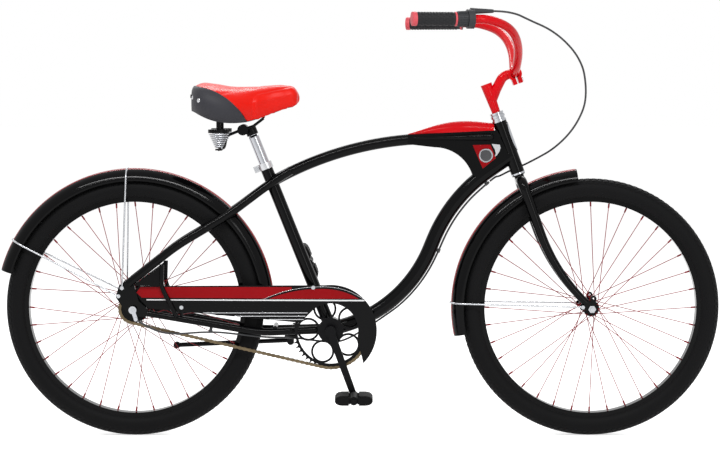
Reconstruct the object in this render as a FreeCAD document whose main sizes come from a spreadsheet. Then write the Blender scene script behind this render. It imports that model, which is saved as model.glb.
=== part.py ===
"""Beach cruiser bicycle: curved steel frame, sprung saddle, gooseneck stem and shift twist grip."""
import FreeCAD, Part
import math
import os

import Sketcher
from FreeCAD import Placement, Rotation, Vector

# Driving sizes in millimetres and degrees, grouped by assembly.
SIZES = {
    # Wheels
    "wheelbase": 1180.6,
    "tyre_width": 54.0,
    "tyre_wall": 4.0,
    "bead_seat_radius": 279.5,
    "rim_width": 32.0,
    "rim_bed": 5.0,
    "rim_flange_height": 6.5,
    "rim_flange_wall": 2.0,
    "spokes_per_flange": 18,
    "spoke_crosses": 3,
    "spoke_diameter": 2.0,
    "nipple_diameter": 4.4,
    "nipple_length": 12.0,
    "axle_diameter": 9.5,
    "running_clearance": 0.1,
    "side_clearance": 0.4,
    "front_hub_width": 100.0,
    "front_shell_half": 40.0,
    "front_flange_place": 34.0,
    "front_flange_radius": 21.0,
    "front_barrel_radius": 13.0,
    "rear_hub_width": 120.0,
    "rear_shell_right": 38.0,
    "rear_shell_left": 43.0,
    "rear_flange_place": 29.0,
    "rear_flange_radius": 37.0,
    "rear_barrel_radius": 29.0,
    "flange_wall": 3.0,
    "cone_radius": 9.0,
    "nut_radius": 10.0,
    "nut_height": 9.0,
    "axle_overhang": 4.0,
    # Fenders
    "fender_gap": 27.5,
    "fender_half_width": 33.0,
    "fender_depth": 24.0,
    "fender_wall": 1.2,
    "front_fender_start": 96.0,
    "front_fender_end": 192.0,
    "rear_fender_start": -3.0,
    "rear_fender_end": 164.3,
    "fender_stay_diameter": 4.6,
    "front_stay_angle": 178.0,
    "rear_stay_angle_top": 93.5,
    "rear_stay_angle_back": 150.6,
    # Frame
    "head_tilt": 20.0,
    "fork_rake": 58.0,
    "lower_stack": 7.2,
    "head_tube_length": 140.0,
    "head_tube_radius": 18.0,
    "head_tube_wall": 3.2,
    "tube_wall": 2.0,
    "chain_stay_length": 510.8,
    "bottom_bracket_height": 277.3,
    "bottom_bracket_radius": 28.5,
    "bottom_bracket_bore": 25.7,
    "bottom_bracket_width": 68.0,
    "seat_tilt": 21.8,
    "seat_tube_length": 464.0,
    "seat_tube_radius": 15.9,
    "seat_post_radius": 13.6,
    "top_tube_radius": 14.3,
    "top_tube_drop": 38.0,
    "top_tube_slope": 2.3,
    "top_tube_rear_slope": 38.7,
    "top_tube_bend_run": 494.0,
    "top_tube_bend_radius": 854.0,
    "down_tube_radius": 19.0,
    "down_tube_rise": 48.0,
    "down_tube_head_run": 191.0,
    "down_tube_head_angle": 34.8,
    "down_tube_head_bend": 400.0,
    "down_tube_foot_run": 191.0,
    "down_tube_foot_angle": 11.4,
    "down_tube_foot_bend": 345.0,
    "seat_stay_radius": 11.0,
    "seat_stay_front_run": 58.0,
    "seat_stay_spread": 0.3,
    "seat_stay_knee": 0.65,
    "seat_stay_sag": 8.0,
    "seat_stay_bend": 500.0,
    "chain_stay_radius": 10.5,
    "chain_stay_tip_radius": 8.0,
    "chain_stay_knee": 0.38,
    "chain_stay_bow": 23.0,
    "chain_stay_front_half": 22.0,
    "chain_stay_knee_half": 42.0,
    "chain_stay_bend": 300.0,
    "bridge_radius": 6.5,
    "dropout_wall": 5.0,
    "dropout_top": 66.0,
    "dropout_reach": 34.0,
    "brace_radius": 6.0,
    # Steering
    "steerer_radius": 12.7,
    "steerer_wall": 1.4,
    "blade_radius": 14.0,
    "blade_tip_radius": 10.0,
    "blade_half": 51.0,
    "crown_gap": 1.5,
    "crown_bend": 26.0,
    "blade_bend_place": 129.0,
    "blade_bend": 480.0,
    "tip_wall": 5.0,
    "tip_radius": 13.0,
    "eyelet_radius": 8.0,
    "eyelet_bore": 2.6,
    "upper_cup_height": 11.0,
    "upper_cup_radius": 19.0,
    "lock_nut_height": 14.0,
    "stem_reach": 78.0,
    "stem_rise": 103.0,
    "stem_quill_depth": 55.0,
    "stem_quill_radius": 11.1,
    "stem_head_radius": 15.0,
    "stem_arm_radius": 13.5,
    "stem_clamp_half": 21.0,
    "stem_clamp_wall": 7.0,
    "bar_radius": 11.1,
    "bar_rise": 135.0,
    "bar_half_width": 330.0,
    "bar_sweep": 268.0,
    "grip_radius": 16.0,
    "grip_length": 108.0,
    "twist_length": 26.0,
    "twist_radius": 19.0,
    "shifter_length": 16.0,
    "shifter_radius": 24.0,
    # Drive
    "chain_pitch": 12.7,
    "chainring_teeth": 48,
    "sprocket_teeth": 18,
    "chain_line": 46.0,
    "sprocket_wall": 3.0,
    "roller_radius": 3.9,
    "chain_plate_height": 8.4,
    "chain_plate_wall": 1.4,
    "chain_inner_half": 2.6,
    "crank_length": 175.0,
    "crank_rest_angle": 20.0,
    "crank_arm_place": 77.0,
    "crank_arm_half_wall": 7.0,
    "crank_arm_radius": 14.0,
    "crank_eye_radius": 11.5,
    "crank_spindle_radius": 11.0,
    "pedal_length": 97.0,
    "pedal_width": 92.0,
    "pedal_height": 30.0,
    "pedal_barrel_radius": 11.0,
    "pedal_spindle_radius": 5.0,
    # Chain guard
    "guard_place": 55.0,
    "guard_wall": 1.6,
    "guard_outer_radius": 119.0,
    "guard_window_radius": 71.0,
    "guard_tail": 507.0,
    "guard_top": 116.0,
    # Kickstand
    "stand_length": 298.0,
    "stand_radius": 6.0,
    "stand_foot_radius": 9.5,
    "stand_half": 40.0,
    "stand_back": 106.0,
    "stand_drop": 35.0,
    # Saddle
    "post_exposed": 72.0,
    "post_head": 30.0,
    "post_taper": 5.0,
    "post_top_radius": 11.0,
    "post_depth": 110.0,
    "saddle_half_width": 120.0,
    "saddle_height": 102.0,
    "rail_radius": 3.6,
    "spring_half": 62.0,
    "spring_back": 76.0,
    "spring_foot_drop": 54.0,
    "spring_height": 36.0,
    "spring_top_radius": 25.0,
    "spring_foot_radius": 8.0,
    "spring_wire_radius": 1.9,
    "spring_turns": 5,
    # Tank
    "tank_half_width": 17.5,
    "tank_cover_height": 26.0,
    # Shift cable
    "cable_radius": 2.5,
}

doc = FreeCAD.newDocument("cruiser_bicycle")
sheet = doc.addObject("Spreadsheet::Sheet", "size")
for row, (alias, number) in enumerate(SIZES.items(), start=1):
    sheet.set(f"A{row}", alias)
    sheet.set(f"B{row}", str(number))
    sheet.setAlias(f"B{row}", alias)
doc.recompute()


class Sizes:
    """The sheet's cells as plain numbers, read as size.wheelbase."""

    def __getattr__(self, name):
        return float(sheet.get(name))


size = Sizes()
nodes = []

ACROSS = Vector(0, 1, 0)
SPIN = Vector(0, -1, 0)
UP = Vector(0, 0, 1)


def cosine(degrees):
    return math.cos(math.radians(degrees))


def sine(degrees):
    return math.sin(math.radians(degrees))


# Reference radii and points that the driving sizes fix
TYRE_RADIUS = size.bead_seat_radius + size.tyre_width
FENDER_RADIUS = TYRE_RADIUS + size.fender_gap
X_SHIFT = (-FENDER_RADIUS * cosine(size.rear_fender_end) - TYRE_RADIUS) / 2
REAR_AXLE = Vector(X_SHIFT - size.wheelbase / 2, 0, TYRE_RADIUS)
FRONT_AXLE = Vector(X_SHIFT + size.wheelbase / 2, 0, TYRE_RADIUS)
BRACKET_DROP = TYRE_RADIUS - size.bottom_bracket_height
BRACKET = Vector(
    REAR_AXLE.x + math.sqrt(size.chain_stay_length ** 2 - BRACKET_DROP ** 2), 0, size.bottom_bracket_height
)
STEER_UP = Vector(-sine(size.head_tilt), 0, cosine(size.head_tilt))
STEER_AHEAD = Vector(cosine(size.head_tilt), 0, sine(size.head_tilt))
STEER_FOOT = FRONT_AXLE - STEER_AHEAD * size.fork_rake
SEAT_UP = Vector(-sine(size.seat_tilt), 0, cosine(size.seat_tilt))
SEAT_AHEAD = Vector(cosine(size.seat_tilt), 0, sine(size.seat_tilt))
CROWN = math.sqrt((FENDER_RADIUS + size.crown_gap) ** 2 - size.fork_rake ** 2) + size.blade_radius
CROWN_TOP = CROWN + size.blade_radius
HEAD_FOOT = CROWN_TOP + size.lower_stack
HEAD_TOP = HEAD_FOOT + size.head_tube_length
CUP_TOP = HEAD_TOP + size.upper_cup_height
POST_TOP = size.seat_tube_length + size.post_exposed + size.post_head


def steer(along, ahead=0.0, side=0.0):
    """Point in the steering group: along the steering axis, ahead of it and to the left."""
    return STEER_FOOT + STEER_UP * along + STEER_AHEAD * ahead + ACROSS * side


def seat(along, ahead=0.0, side=0.0):
    """Point on the seat tube's axis, measured from the bottom bracket."""
    return BRACKET + SEAT_UP * along + SEAT_AHEAD * ahead + ACROSS * side


def around(centre, radius, degrees, side=0.0):
    """Point on a circle about a wheel's axis; 0 points ahead and 90 points up."""
    return centre + Vector(radius * cosine(degrees), side, radius * sine(degrees))


def along_axis(origin, direction):
    """Placement whose own Z runs along a direction."""
    return Placement(origin, Rotation(UP, direction))


def node(item, label):
    """Names a sub-part that is written to its own file."""
    item.Label = label
    nodes.append(item)
    return item


def feature(label, shape, placement=Placement()):
    """Sub-part with a shape made by code."""
    item = doc.addObject("Part::Feature", label)
    item.Shape = shape
    item.Placement = placement
    return node(item, label)


def outline_sketch(body, corners, role):
    """Closed outline whose corners are pairs of expressions bound to the sheet."""
    sketch = body.newObject("Sketcher::SketchObject", body.Name + "_outline")
    plane = next(item for item in body.Origin.OriginFeatures if item.Role == role)
    sketch.AttachmentSupport = [(plane, "")]
    sketch.MapMode = "FlatFace"
    places = [[float(sheet.evalExpression(text)) for text in corner] for corner in corners]
    points = [Vector(across, along, 0) for across, along in places]
    count = len(points)
    for index in range(count):
        sketch.addGeometry(Part.LineSegment(points[index], points[(index + 1) % count]))
    for index in range(count):
        sketch.addConstraint(Sketcher.Constraint("Coincident", index, 2, (index + 1) % count, 1))
        for kind, text, place in zip(("DistanceX", "DistanceY"), corners[index], places[index]):
            constraint = sketch.addConstraint(Sketcher.Constraint(kind, index, 1, place))
            sketch.setExpression(f"Constraints[{constraint}]", text)
    return sketch


def turned_body(label, corners, placement):
    """Round body: an outline of (radius, height) expressions turned about its own Z."""
    body = doc.addObject("PartDesign::Body", label)
    sketch = outline_sketch(body, corners, "XZ_Plane")
    turn = body.newObject("PartDesign::Revolution", label + "_turn")
    turn.Profile = sketch
    turn.ReferenceAxis = (sketch, ["V_Axis"])
    turn.Angle = 360
    body.Placement = placement
    return body


def turned(label, corners, placement):
    """Round sub-part with a file of its own."""
    return node(turned_body(label, corners, placement), label)


def gathered(label, items):
    """Sub-part of several document objects, such as a left and a right piece."""
    item = doc.addObject("Part::Compound", label)
    item.Links = items
    return node(item, label)


def ring(inner, outer, low, high):
    """Corners of a plain ring's section, as expressions."""
    return [(inner, low), (outer, low), (outer, high), (inner, high)]


def bent_path(points, radii):
    """Wire of straight runs joined by tangent arcs, one radius for each inner point."""
    edges = []
    start = points[0]
    for before, corner, after, radius in zip(points, points[1:], points[2:], radii):
        into = (corner - before).normalize()
        out = (after - corner).normalize()
        half_turn = into.getAngle(out) / 2
        first = corner - into * (radius * math.tan(half_turn))
        last = corner + out * (radius * math.tan(half_turn))
        middle = corner + (out - into).normalize() * (radius / math.cos(half_turn) - radius)
        edges.append(Part.LineSegment(start, first).toShape())
        edges.append(Part.Arc(first, middle, last).toShape())
        start = last
    edges.append(Part.LineSegment(start, points[-1]).toShape())
    return Part.Wire(edges)


BEND_SHARE = 0.45


def widest_bends(points):
    """Arc radii that spend a fixed share of the shorter run at each inner point of a cable's route."""
    radii = []
    for before, corner, after in zip(points, points[1:], points[2:]):
        half_turn = (corner - before).getAngle(after - corner) / 2
        shorter = min((corner - before).Length, (after - corner).Length)
        radii.append(BEND_SHARE * shorter / math.tan(half_turn))
    return radii


def path_ring(path, radius, at_end=False):
    """Circle square to a path at one of its ends."""
    edge = path.Edges[-1] if at_end else path.Edges[0]
    place = edge.LastParameter if at_end else edge.FirstParameter
    return Part.Wire(Part.makeCircle(radius, edge.valueAt(place), edge.tangentAt(place)))


def rod(path, radius, end_radius=None):
    """Solid rod along a path, tapered when its end has a radius of its own."""
    rings = [path_ring(path, radius)]
    if end_radius is not None:
        rings.append(path_ring(path, end_radius, at_end=True))
    return path.makePipeShell(rings, True, False)


def hollow(path, radius, wall, end_radius=None):
    """Tube along a path."""
    inner_end = None if end_radius is None else end_radius - wall
    return rod(path, radius, end_radius).cut(rod(path, radius - wall, inner_end))


def straight(start, end):
    """Path of one straight run."""
    return Part.Wire([Part.LineSegment(start, end).toShape()])


def pin(start, end, radius):
    """Solid cylinder between two points."""
    return Part.makeCylinder(radius, (end - start).Length, start, end - start)


def hexagon(centre, direction, radius, height):
    """Hexagonal nut or bolt head."""
    corners = [Vector(radius * cosine(60 * turn), radius * sine(60 * turn), 0) for turn in range(7)]
    head = Part.Face(Part.makePolygon(corners)).extrude(Vector(0, 0, height))
    head.Placement = along_axis(centre, direction)
    return head


def largest(shape):
    """The main solid of a trimmed tube, without its offcuts."""
    return max(shape.Solids, key=lambda solid: solid.Volume)


def mirrored(shape):
    """The same shape on the other side of the bicycle."""
    return shape.mirror(Vector(), ACROSS)


def both_sides(shape):
    """A piece with its mirror image."""
    return Part.makeCompound([shape, mirrored(shape)])


def primitive(kind, name, placement, **expressions):
    """Part primitive whose sizes are bound to the sheet."""
    item = doc.addObject(kind, name)
    for key, text in expressions.items():
        item.setExpression(key, text)
    item.Placement = placement
    return item


def cut_away(name, base, tool):
    """Boolean cut of two document objects."""
    item = doc.addObject("Part::Cut", name)
    item.Base = base
    item.Tool = tool
    return item


def wheel_place(axle, side=0.0):
    """Placement whose own Z is a wheel's axis, pointing left."""
    return Placement(axle + ACROSS * side, Rotation(Vector(1, 0, 0), -90))


# Wheels

HUB_BORE = "size.axle_diameter / 2 + size.running_clearance"
SPOKE_INSET = 3.5
SPOKE_RIM_HALF = 3.0
SPOKE_LIFT = 0.6
NIPPLE_GAP = 0.8


def make_tyre(label, axle):
    """Hollow tyre resting on the rim's two flanges."""
    place = wheel_place(axle)
    middle = "size.bead_seat_radius + size.tyre_width / 2"
    outer = primitive("Part::Torus", label + "_outer", place, Radius1=middle, Radius2="size.tyre_width / 2")
    inner = primitive(
        "Part::Torus", label + "_inner", place, Radius1=middle, Radius2="size.tyre_width / 2 - size.tyre_wall"
    )
    rim_space = primitive(
        "Part::Cylinder",
        label + "_rim_space",
        wheel_place(axle, -size.tyre_width / 2),
        Radius="size.bead_seat_radius + size.rim_flange_height",
        Height="size.tyre_width",
    )
    carcass = cut_away(label + "_carcass", outer, inner)
    node(cut_away(label, carcass, rim_space), label)


def make_rim(label, axle):
    """Channel rim with a flange at each side."""
    inner = "size.bead_seat_radius - size.rim_bed"
    lip = "size.bead_seat_radius + size.rim_flange_height"
    edge = "size.rim_width / 2"
    wall = "size.rim_width / 2 - size.rim_flange_wall"
    corners = [
        (inner, f"-({edge})"),
        (lip, f"-({edge})"),
        (lip, f"-({wall})"),
        ("size.bead_seat_radius", f"-({wall})"),
        ("size.bead_seat_radius", wall),
        (lip, wall),
        (lip, edge),
        (inner, edge),
    ]
    turned(label, corners, wheel_place(axle))


def make_hub(label, axle, right, left, flange_place, flange_radius, barrel):
    """Hub shell with two spoke flanges, bored to run on its axle; lengths are expressions."""
    outer = f"{flange_place} + size.flange_wall / 2"
    inner = f"{flange_place} - size.flange_wall / 2"
    neck = "size.cone_radius + 5"
    corners = [
        (HUB_BORE, f"-({right})"),
        (neck, f"-({right})"),
        (neck, f"-({outer})"),
        (flange_radius, f"-({outer})"),
        (flange_radius, f"-({inner})"),
        (barrel, f"-({inner})"),
        (barrel, inner),
        (flange_radius, inner),
        (flange_radius, outer),
        (neck, outer),
        (neck, left),
        (HUB_BORE, left),
    ]
    turned(label, corners, wheel_place(axle))


def spoke_run(axle, side, index, flange_place, flange_radius):
    """Ends of one crossed spoke: its seat on the flange and its nipple's seat on the rim."""
    count = size.spokes_per_flange
    lead = 1 if index % 2 else -1
    stagger = 0.5 if side > 0 else 0.0
    rim_angle = 360 / count * (index + stagger)
    hub_angle = rim_angle + lead * size.spoke_crosses * 360 / count
    lift = size.flange_wall / 2 + size.spoke_diameter / 2 + SPOKE_LIFT
    seat_side = side * (flange_place + lead * lift)
    rim_radius = size.bead_seat_radius - size.rim_bed - NIPPLE_GAP
    start = around(axle, flange_radius - SPOKE_INSET, hub_angle, seat_side)
    return start, around(axle, rim_radius, rim_angle, side * SPOKE_RIM_HALF)


def make_spokes(label, axle, flange_place, flange_radius):
    """Crossed spokes, each with its nipple."""
    solids = []
    for side in (-1, 1):
        for index in range(int(size.spokes_per_flange)):
            start, end = spoke_run(axle, side, index, flange_place, flange_radius)
            joint = end - (end - start).normalize() * size.nipple_length
            solids.append(pin(start, joint, size.spoke_diameter / 2))
            solids.append(pin(joint, end, size.nipple_diameter / 2))
    feature(label, Part.makeCompound(solids))


def make_axle(label, axle, width, right, left, wall, extra_right):
    """Axle with its bearing cones between the shell and the frame; lengths are expressions."""
    shaft = "size.axle_diameter / 2"
    end = f"{width} / 2 + {wall} + size.nut_height + size.axle_overhang"
    corners = [
        ("0", f"-({end} + {extra_right})"),
        (shaft, f"-({end} + {extra_right})"),
        (shaft, f"-{width} / 2"),
        ("size.cone_radius", f"-{width} / 2"),
        ("size.cone_radius", f"-({right} + size.side_clearance)"),
        (shaft, f"-({right} + size.side_clearance)"),
        (shaft, f"{left} + size.side_clearance"),
        ("size.cone_radius", f"{left} + size.side_clearance"),
        ("size.cone_radius", f"{width} / 2"),
        (shaft, f"{width} / 2"),
        (shaft, end),
        ("0", end),
    ]
    turned(label, corners, wheel_place(axle))


def axle_nuts(axle, inner_face):
    """Pair of nuts against the outer faces of the frame ends."""
    solids = []
    for side in (-1, 1):
        start = axle + ACROSS * side * inner_face
        bore = pin(start, start + ACROSS * side * size.nut_height, size.axle_diameter / 2 + FIT)
        solids.append(hexagon(start, ACROSS * side, size.nut_radius, size.nut_height).cut(bore))
    return solids


FIT = 0.05
CARRIER_WALL = 8.0
SPROCKET_CARRIER = 6.0
CARRIER_END = f"size.chain_line + {SPROCKET_CARRIER}"


def make_wheels():
    for label, axle in (("front", FRONT_AXLE), ("rear", REAR_AXLE)):
        make_tyre(label + "_tyre", axle)
        make_rim(label + "_rim", axle)
    make_hub(
        "front_hub",
        FRONT_AXLE,
        "size.front_shell_half",
        "size.front_shell_half",
        "size.front_flange_place",
        "size.front_flange_radius",
        "size.front_barrel_radius",
    )
    make_hub(
        "rear_hub",
        REAR_AXLE,
        "size.rear_shell_right",
        "size.rear_shell_left",
        "size.rear_flange_place",
        "size.rear_flange_radius",
        "size.rear_barrel_radius",
    )
    make_spokes("front_spokes", FRONT_AXLE, size.front_flange_place, size.front_flange_radius)
    make_spokes("rear_spokes", REAR_AXLE, size.rear_flange_place, size.rear_flange_radius)
    make_axle(
        "front_axle",
        FRONT_AXLE,
        "size.front_hub_width",
        "size.front_shell_half",
        "size.front_shell_half",
        "size.tip_wall",
        "0",
    )
    make_axle(
        "rear_axle",
        REAR_AXLE,
        "size.rear_hub_width",
        CARRIER_END,
        "size.rear_shell_left + 8",
        "size.dropout_wall",
        "8",
    )


# Fenders


def make_fender(label, axle, start, end):
    """Crowned strip about a wheel's axis from one angle to another."""
    crown = FENDER_RADIUS
    lip = crown - size.fender_depth
    half = size.fender_half_width
    wall = size.fender_wall
    outer = Part.Arc(Vector(lip, -half, 0), Vector(crown, 0, 0), Vector(lip, half, 0)).toShape()
    inner = Part.Arc(
        Vector(lip, wall - half, 0), Vector(crown - wall, 0, 0), Vector(lip, half - wall, 0)
    ).toShape()
    sides = [
        Part.LineSegment(Vector(lip, sign * half, 0), Vector(lip, sign * (half - wall), 0)).toShape()
        for sign in (-1, 1)
    ]
    section = Part.Face(Part.Wire(Part.__sortEdges__([outer, inner] + sides)))
    section.rotate(Vector(), SPIN, start)
    strip = section.revolve(Vector(), SPIN, end - start)
    feature(label, strip, Placement(axle, Rotation()))


def node_shape(label):
    """Shape of a node that is already made."""
    return next(item for item in nodes if item.Label == label).Shape


def stay_hoop(axle, eyelet, side, degrees):
    """Wire hoop from one frame end over the fender's crown to the other, with tangent straight legs."""
    depth = size.fender_depth
    half = size.fender_half_width
    crown = (half ** 2 + depth ** 2) / (2 * depth)
    bend = crown + size.fender_stay_diameter / 2 + STAY_GAP
    middle = axle + Vector(*eyelet)
    centre = around(axle, FENDER_RADIUS - crown, degrees)
    outward = (centre - middle).normalize()
    reach = (centre - middle).Length
    slant = math.hypot(reach, side)
    leg = math.sqrt(slant ** 2 - bend ** 2)
    lean = math.atan2(-side, reach) + math.asin(bend / slant)
    along = leg * math.cos(lean)
    across = side + leg * math.sin(lean)
    ends = [middle + outward * along + ACROSS * across * sign for sign in (-1, 1)]
    edges = [
        Part.LineSegment(middle - ACROSS * side, ends[0]).toShape(),
        Part.Arc(ends[0], centre + outward * bend, ends[1]).toShape(),
        Part.LineSegment(ends[1], middle + ACROSS * side).toShape(),
    ]
    return rod(Part.Wire(edges), size.fender_stay_diameter / 2)


STAY_GAP = 0.3


def stay_side(hub_width, wall):
    """Distance of a stay's lower end from the centre plane, just outside the frame end."""
    return hub_width / 2 + wall + size.fender_stay_diameter / 2 + STAY_GAP


def make_fenders():
    make_fender("front_fender", FRONT_AXLE, size.front_fender_start, size.front_fender_end)
    make_fender("rear_fender", REAR_AXLE, size.rear_fender_start, size.rear_fender_end)


def make_fender_stays():
    front_side = stay_side(size.front_hub_width, size.tip_wall)
    rear_side = stay_side(size.rear_hub_width, size.dropout_wall)
    front = stay_hoop(FRONT_AXLE, FRONT_EYELET, front_side, size.front_stay_angle)
    feature("front_fender_stays", largest(front.cut(node_shape("fork_blades"))))
    top = stay_hoop(REAR_AXLE, REAR_EYELETS[0], rear_side, size.rear_stay_angle_top)
    back = stay_hoop(REAR_AXLE, REAR_EYELETS[1], rear_side, size.rear_stay_angle_back)
    ends = node_shape("rear_dropouts")
    feature("rear_fender_stays", Part.makeCompound([largest(top.cut(ends)), largest(back.cut(ends))]))


FRONT_EYELET = (-24.0, 0.0, 5.0)
REAR_EYELETS = ((-28.0, 0.0, 56.0), (-37.0, 0.0, 35.0))


# Frame tubes

def top_tube_path():
    """Centre line of the top tube: nearly level from the head, then one long bend down to the rear."""
    start = steer(HEAD_TOP - size.top_tube_drop)
    ahead = Vector(cosine(size.top_tube_slope), 0, sine(size.top_tube_slope))
    corner = start - ahead * size.top_tube_bend_run
    turn = size.top_tube_rear_slope - size.top_tube_slope
    spent = size.top_tube_bend_radius * math.tan(math.radians(turn / 2))
    rear = Vector(-cosine(size.top_tube_rear_slope), 0, -sine(size.top_tube_rear_slope))
    return bent_path([start, corner, corner + rear * (spent + TUBE_OVERRUN)], [size.top_tube_bend_radius])


def down_tube_path():
    """Centre line of the S-curved down tube from the head to the bottom bracket."""
    start = steer(HEAD_FOOT + size.down_tube_rise)
    upper = start - Vector(cosine(size.down_tube_head_angle), 0, sine(size.down_tube_head_angle)) * (
        size.down_tube_head_run
    )
    lower = around(BRACKET, size.down_tube_foot_run, size.down_tube_foot_angle)
    return bent_path([start, upper, lower, BRACKET], [size.down_tube_head_bend, size.down_tube_foot_bend])


TUBE_OVERRUN = 40.0


def head_envelope():
    """Space that the head tube fills."""
    return pin(steer(HEAD_FOOT), steer(HEAD_TOP), size.head_tube_radius)


def seat_envelope():
    """Space that the seat tube fills, from inside the bottom bracket."""
    return pin(BRACKET, seat(size.seat_tube_length), size.seat_tube_radius)


def bracket_envelope():
    """Space that the bottom bracket shell and its cups fill."""
    half = ACROSS * (size.bottom_bracket_width / 2 + CUP_REACH)
    return pin(BRACKET - half, BRACKET + half, size.bottom_bracket_radius)


CUP_REACH = 6.0


def seat_junction():
    """Where the top tube's centre line crosses the seat tube's axis."""
    axis = Part.LineSegment(seat(0), seat(2 * size.seat_tube_length)).toShape()
    return axis.distToShape(top_tube_path())[1][0][0]


def dropout_side():
    """Distance of a dropout plate's middle from the centre plane."""
    return (size.rear_hub_width + size.dropout_wall) / 2


def seat_stay_path():
    """Centre line of the left seat stay: beside the seat tube, round the fender, to the dropout."""
    junction = seat_junction()
    foot = REAR_AXLE + Vector(DROPOUT_HEAD[0], 0, size.dropout_top)
    chord = foot - junction
    lift = Vector(-chord.z, 0, chord.x).normalize() * -1
    front = junction + Vector(cosine(SEAT_STAY_LEAD), 0, sine(SEAT_STAY_LEAD)) * size.seat_stay_front_run
    beside = size.seat_tube_radius + size.seat_stay_radius - SEAT_STAY_BITE
    outside = size.fender_half_width + size.seat_stay_radius + SEAT_STAY_ROOM
    knee_side = (outside + dropout_side()) / 2
    points = [
        front + ACROSS * beside,
        junction + ACROSS * beside,
        junction + chord * size.seat_stay_spread + lift * -size.seat_stay_sag / 2 + ACROSS * outside,
        junction + chord * size.seat_stay_knee + lift * size.seat_stay_sag + ACROSS * knee_side,
        foot + ACROSS * dropout_side(),
    ]
    return bent_path(points, [size.seat_stay_bend] * 3)


SEAT_STAY_LEAD = 31.0
SEAT_STAY_BITE = 2.0
SEAT_STAY_ROOM = 2.5
DROPOUT_HEAD = (-13.0, 70.0)


def chain_stay_path():
    """Centre line of the left chain stay, bowed below the straight line to the dropout."""
    end = REAR_AXLE + Vector(size.dropout_reach, dropout_side(), CHAIN_STAY_END)
    start = BRACKET + ACROSS * size.chain_stay_front_half
    knee = start + (end - start) * size.chain_stay_knee
    knee.z -= size.chain_stay_bow
    knee.y = size.chain_stay_knee_half
    return bent_path([start, knee, end], [size.chain_stay_bend])


CHAIN_STAY_END = -10.0


def fender_bridge():
    """Cross tube between the seat stays just above the rear fender."""
    path = seat_stay_path()
    radius = FENDER_RADIUS + size.bridge_radius + BRIDGE_GAP
    circle = Part.makeCircle(radius, REAR_AXLE, SPIN)
    path.translate(ACROSS * -size.seat_tube_radius)
    point = circle.distToShape(path)[1][0][1]
    half = ACROSS * (size.fender_half_width + size.seat_stay_radius)
    middle = Vector(point.x, 0, point.z)
    return pin(middle - half, middle + half, size.bridge_radius)


BRIDGE_GAP = 0.5


def make_frame_tubes():
    head_bore = "size.head_tube_radius - size.head_tube_wall"
    turned(
        "head_tube",
        ring(head_bore, "size.head_tube_radius", "0", "size.head_tube_length"),
        along_axis(steer(HEAD_FOOT), STEER_UP),
    )
    top = hollow(top_tube_path(), size.top_tube_radius, size.tube_wall)
    top = largest(top.cut(head_envelope()).cut(seat_envelope()))
    feature("top_tube", top)
    down = hollow(down_tube_path(), size.down_tube_radius, size.tube_wall)
    down = largest(down.cut(head_envelope()).cut(bracket_envelope()).cut(seat_envelope()))
    feature("down_tube", down.cut(rod(top_tube_path(), size.top_tube_radius)))
    post_bore = pin(seat(0), seat(2 * size.seat_tube_length), size.seat_post_radius + size.running_clearance)
    tube = seat_envelope().cut(post_bore).cut(bracket_envelope())
    feature("seat_tube", largest(tube.cut(rod(down_tube_path(), size.down_tube_radius))))
    turned(
        "bottom_bracket_shell",
        ring(
            "size.bottom_bracket_bore",
            "size.bottom_bracket_radius",
            "-size.bottom_bracket_width / 2",
            "size.bottom_bracket_width / 2",
        ),
        wheel_place(BRACKET),
    )


def make_stays():
    stay = rod(seat_stay_path(), size.seat_stay_radius)
    trimmed = stay.cut(seat_envelope()).cut(rod(top_tube_path(), size.top_tube_radius)).cut(dropout_plate())
    trimmed = largest(trimmed)
    bridge = fender_bridge().cut(stay).cut(mirrored(stay))
    feature("seat_stays", Part.makeCompound([trimmed, mirrored(trimmed), largest(bridge)]))
    stay = rod(chain_stay_path(), size.chain_stay_radius, size.chain_stay_tip_radius)
    trimmed = stay.cut(bracket_envelope()).cut(dropout_plate())
    trimmed = trimmed.cut(rod(down_tube_path(), size.down_tube_radius)).cut(seat_envelope())
    trimmed = largest(trimmed.cut(Part.makeBox(BIG, BIG, BIG, Vector(-BIG / 2, -BIG, -BIG / 2))))
    half = ACROSS * size.chain_stay_knee_half
    middle = around(REAR_AXLE, FENDER_RADIUS + size.bridge_radius, size.rear_fender_start - CHAIN_BRIDGE_TURN)
    bridge = largest(pin(middle - half, middle + half, size.bridge_radius).cut(stay).cut(mirrored(stay)))
    feature("chain_stays", Part.makeCompound([trimmed, mirrored(trimmed), bridge]))


BIG = 4000.0
CHAIN_BRIDGE_TURN = 5.0

# Corners of the dropout plate: beside the seat stay's foot, its neck, its toe under the chain stay, its back
DROPOUT_CROWN = ((-9.0, 6.0), (13.0, 10.0))
DROPOUT_NECK = (14.0, 22.0)
DROPOUT_TOE = ((4.0, 0.0), (4.0, -18.0))
DROPOUT_BACK = ((4.0, -19.0), (-15.0, -12.0), (-45.0, 32.0), (-36.0, 62.0))


def dropout_plate():
    """Left dropout plate with its axle hole and two eyelet lugs."""
    head = Vector(DROPOUT_HEAD[0], 0, size.dropout_top)
    reach = Vector(size.dropout_reach, 0, 0)
    corners = [head + Vector(ahead, 0, height) for ahead, height in DROPOUT_CROWN]
    corners.append(Vector(DROPOUT_NECK[0], 0, DROPOUT_NECK[1]))
    corners += [reach + Vector(ahead, 0, height) for ahead, height in DROPOUT_TOE]
    corners += [Vector(ahead, 0, height) for ahead, height in DROPOUT_BACK]
    plate = Part.Face(Part.makePolygon(corners + corners[:1])).extrude(ACROSS * size.dropout_wall)
    plate.translate(REAR_AXLE + ACROSS * size.rear_hub_width / 2)
    bore = size.axle_diameter / 2 + FIT
    return plate.cut(pin(REAR_AXLE, REAR_AXLE + ACROSS * size.rear_hub_width, bore))


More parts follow.
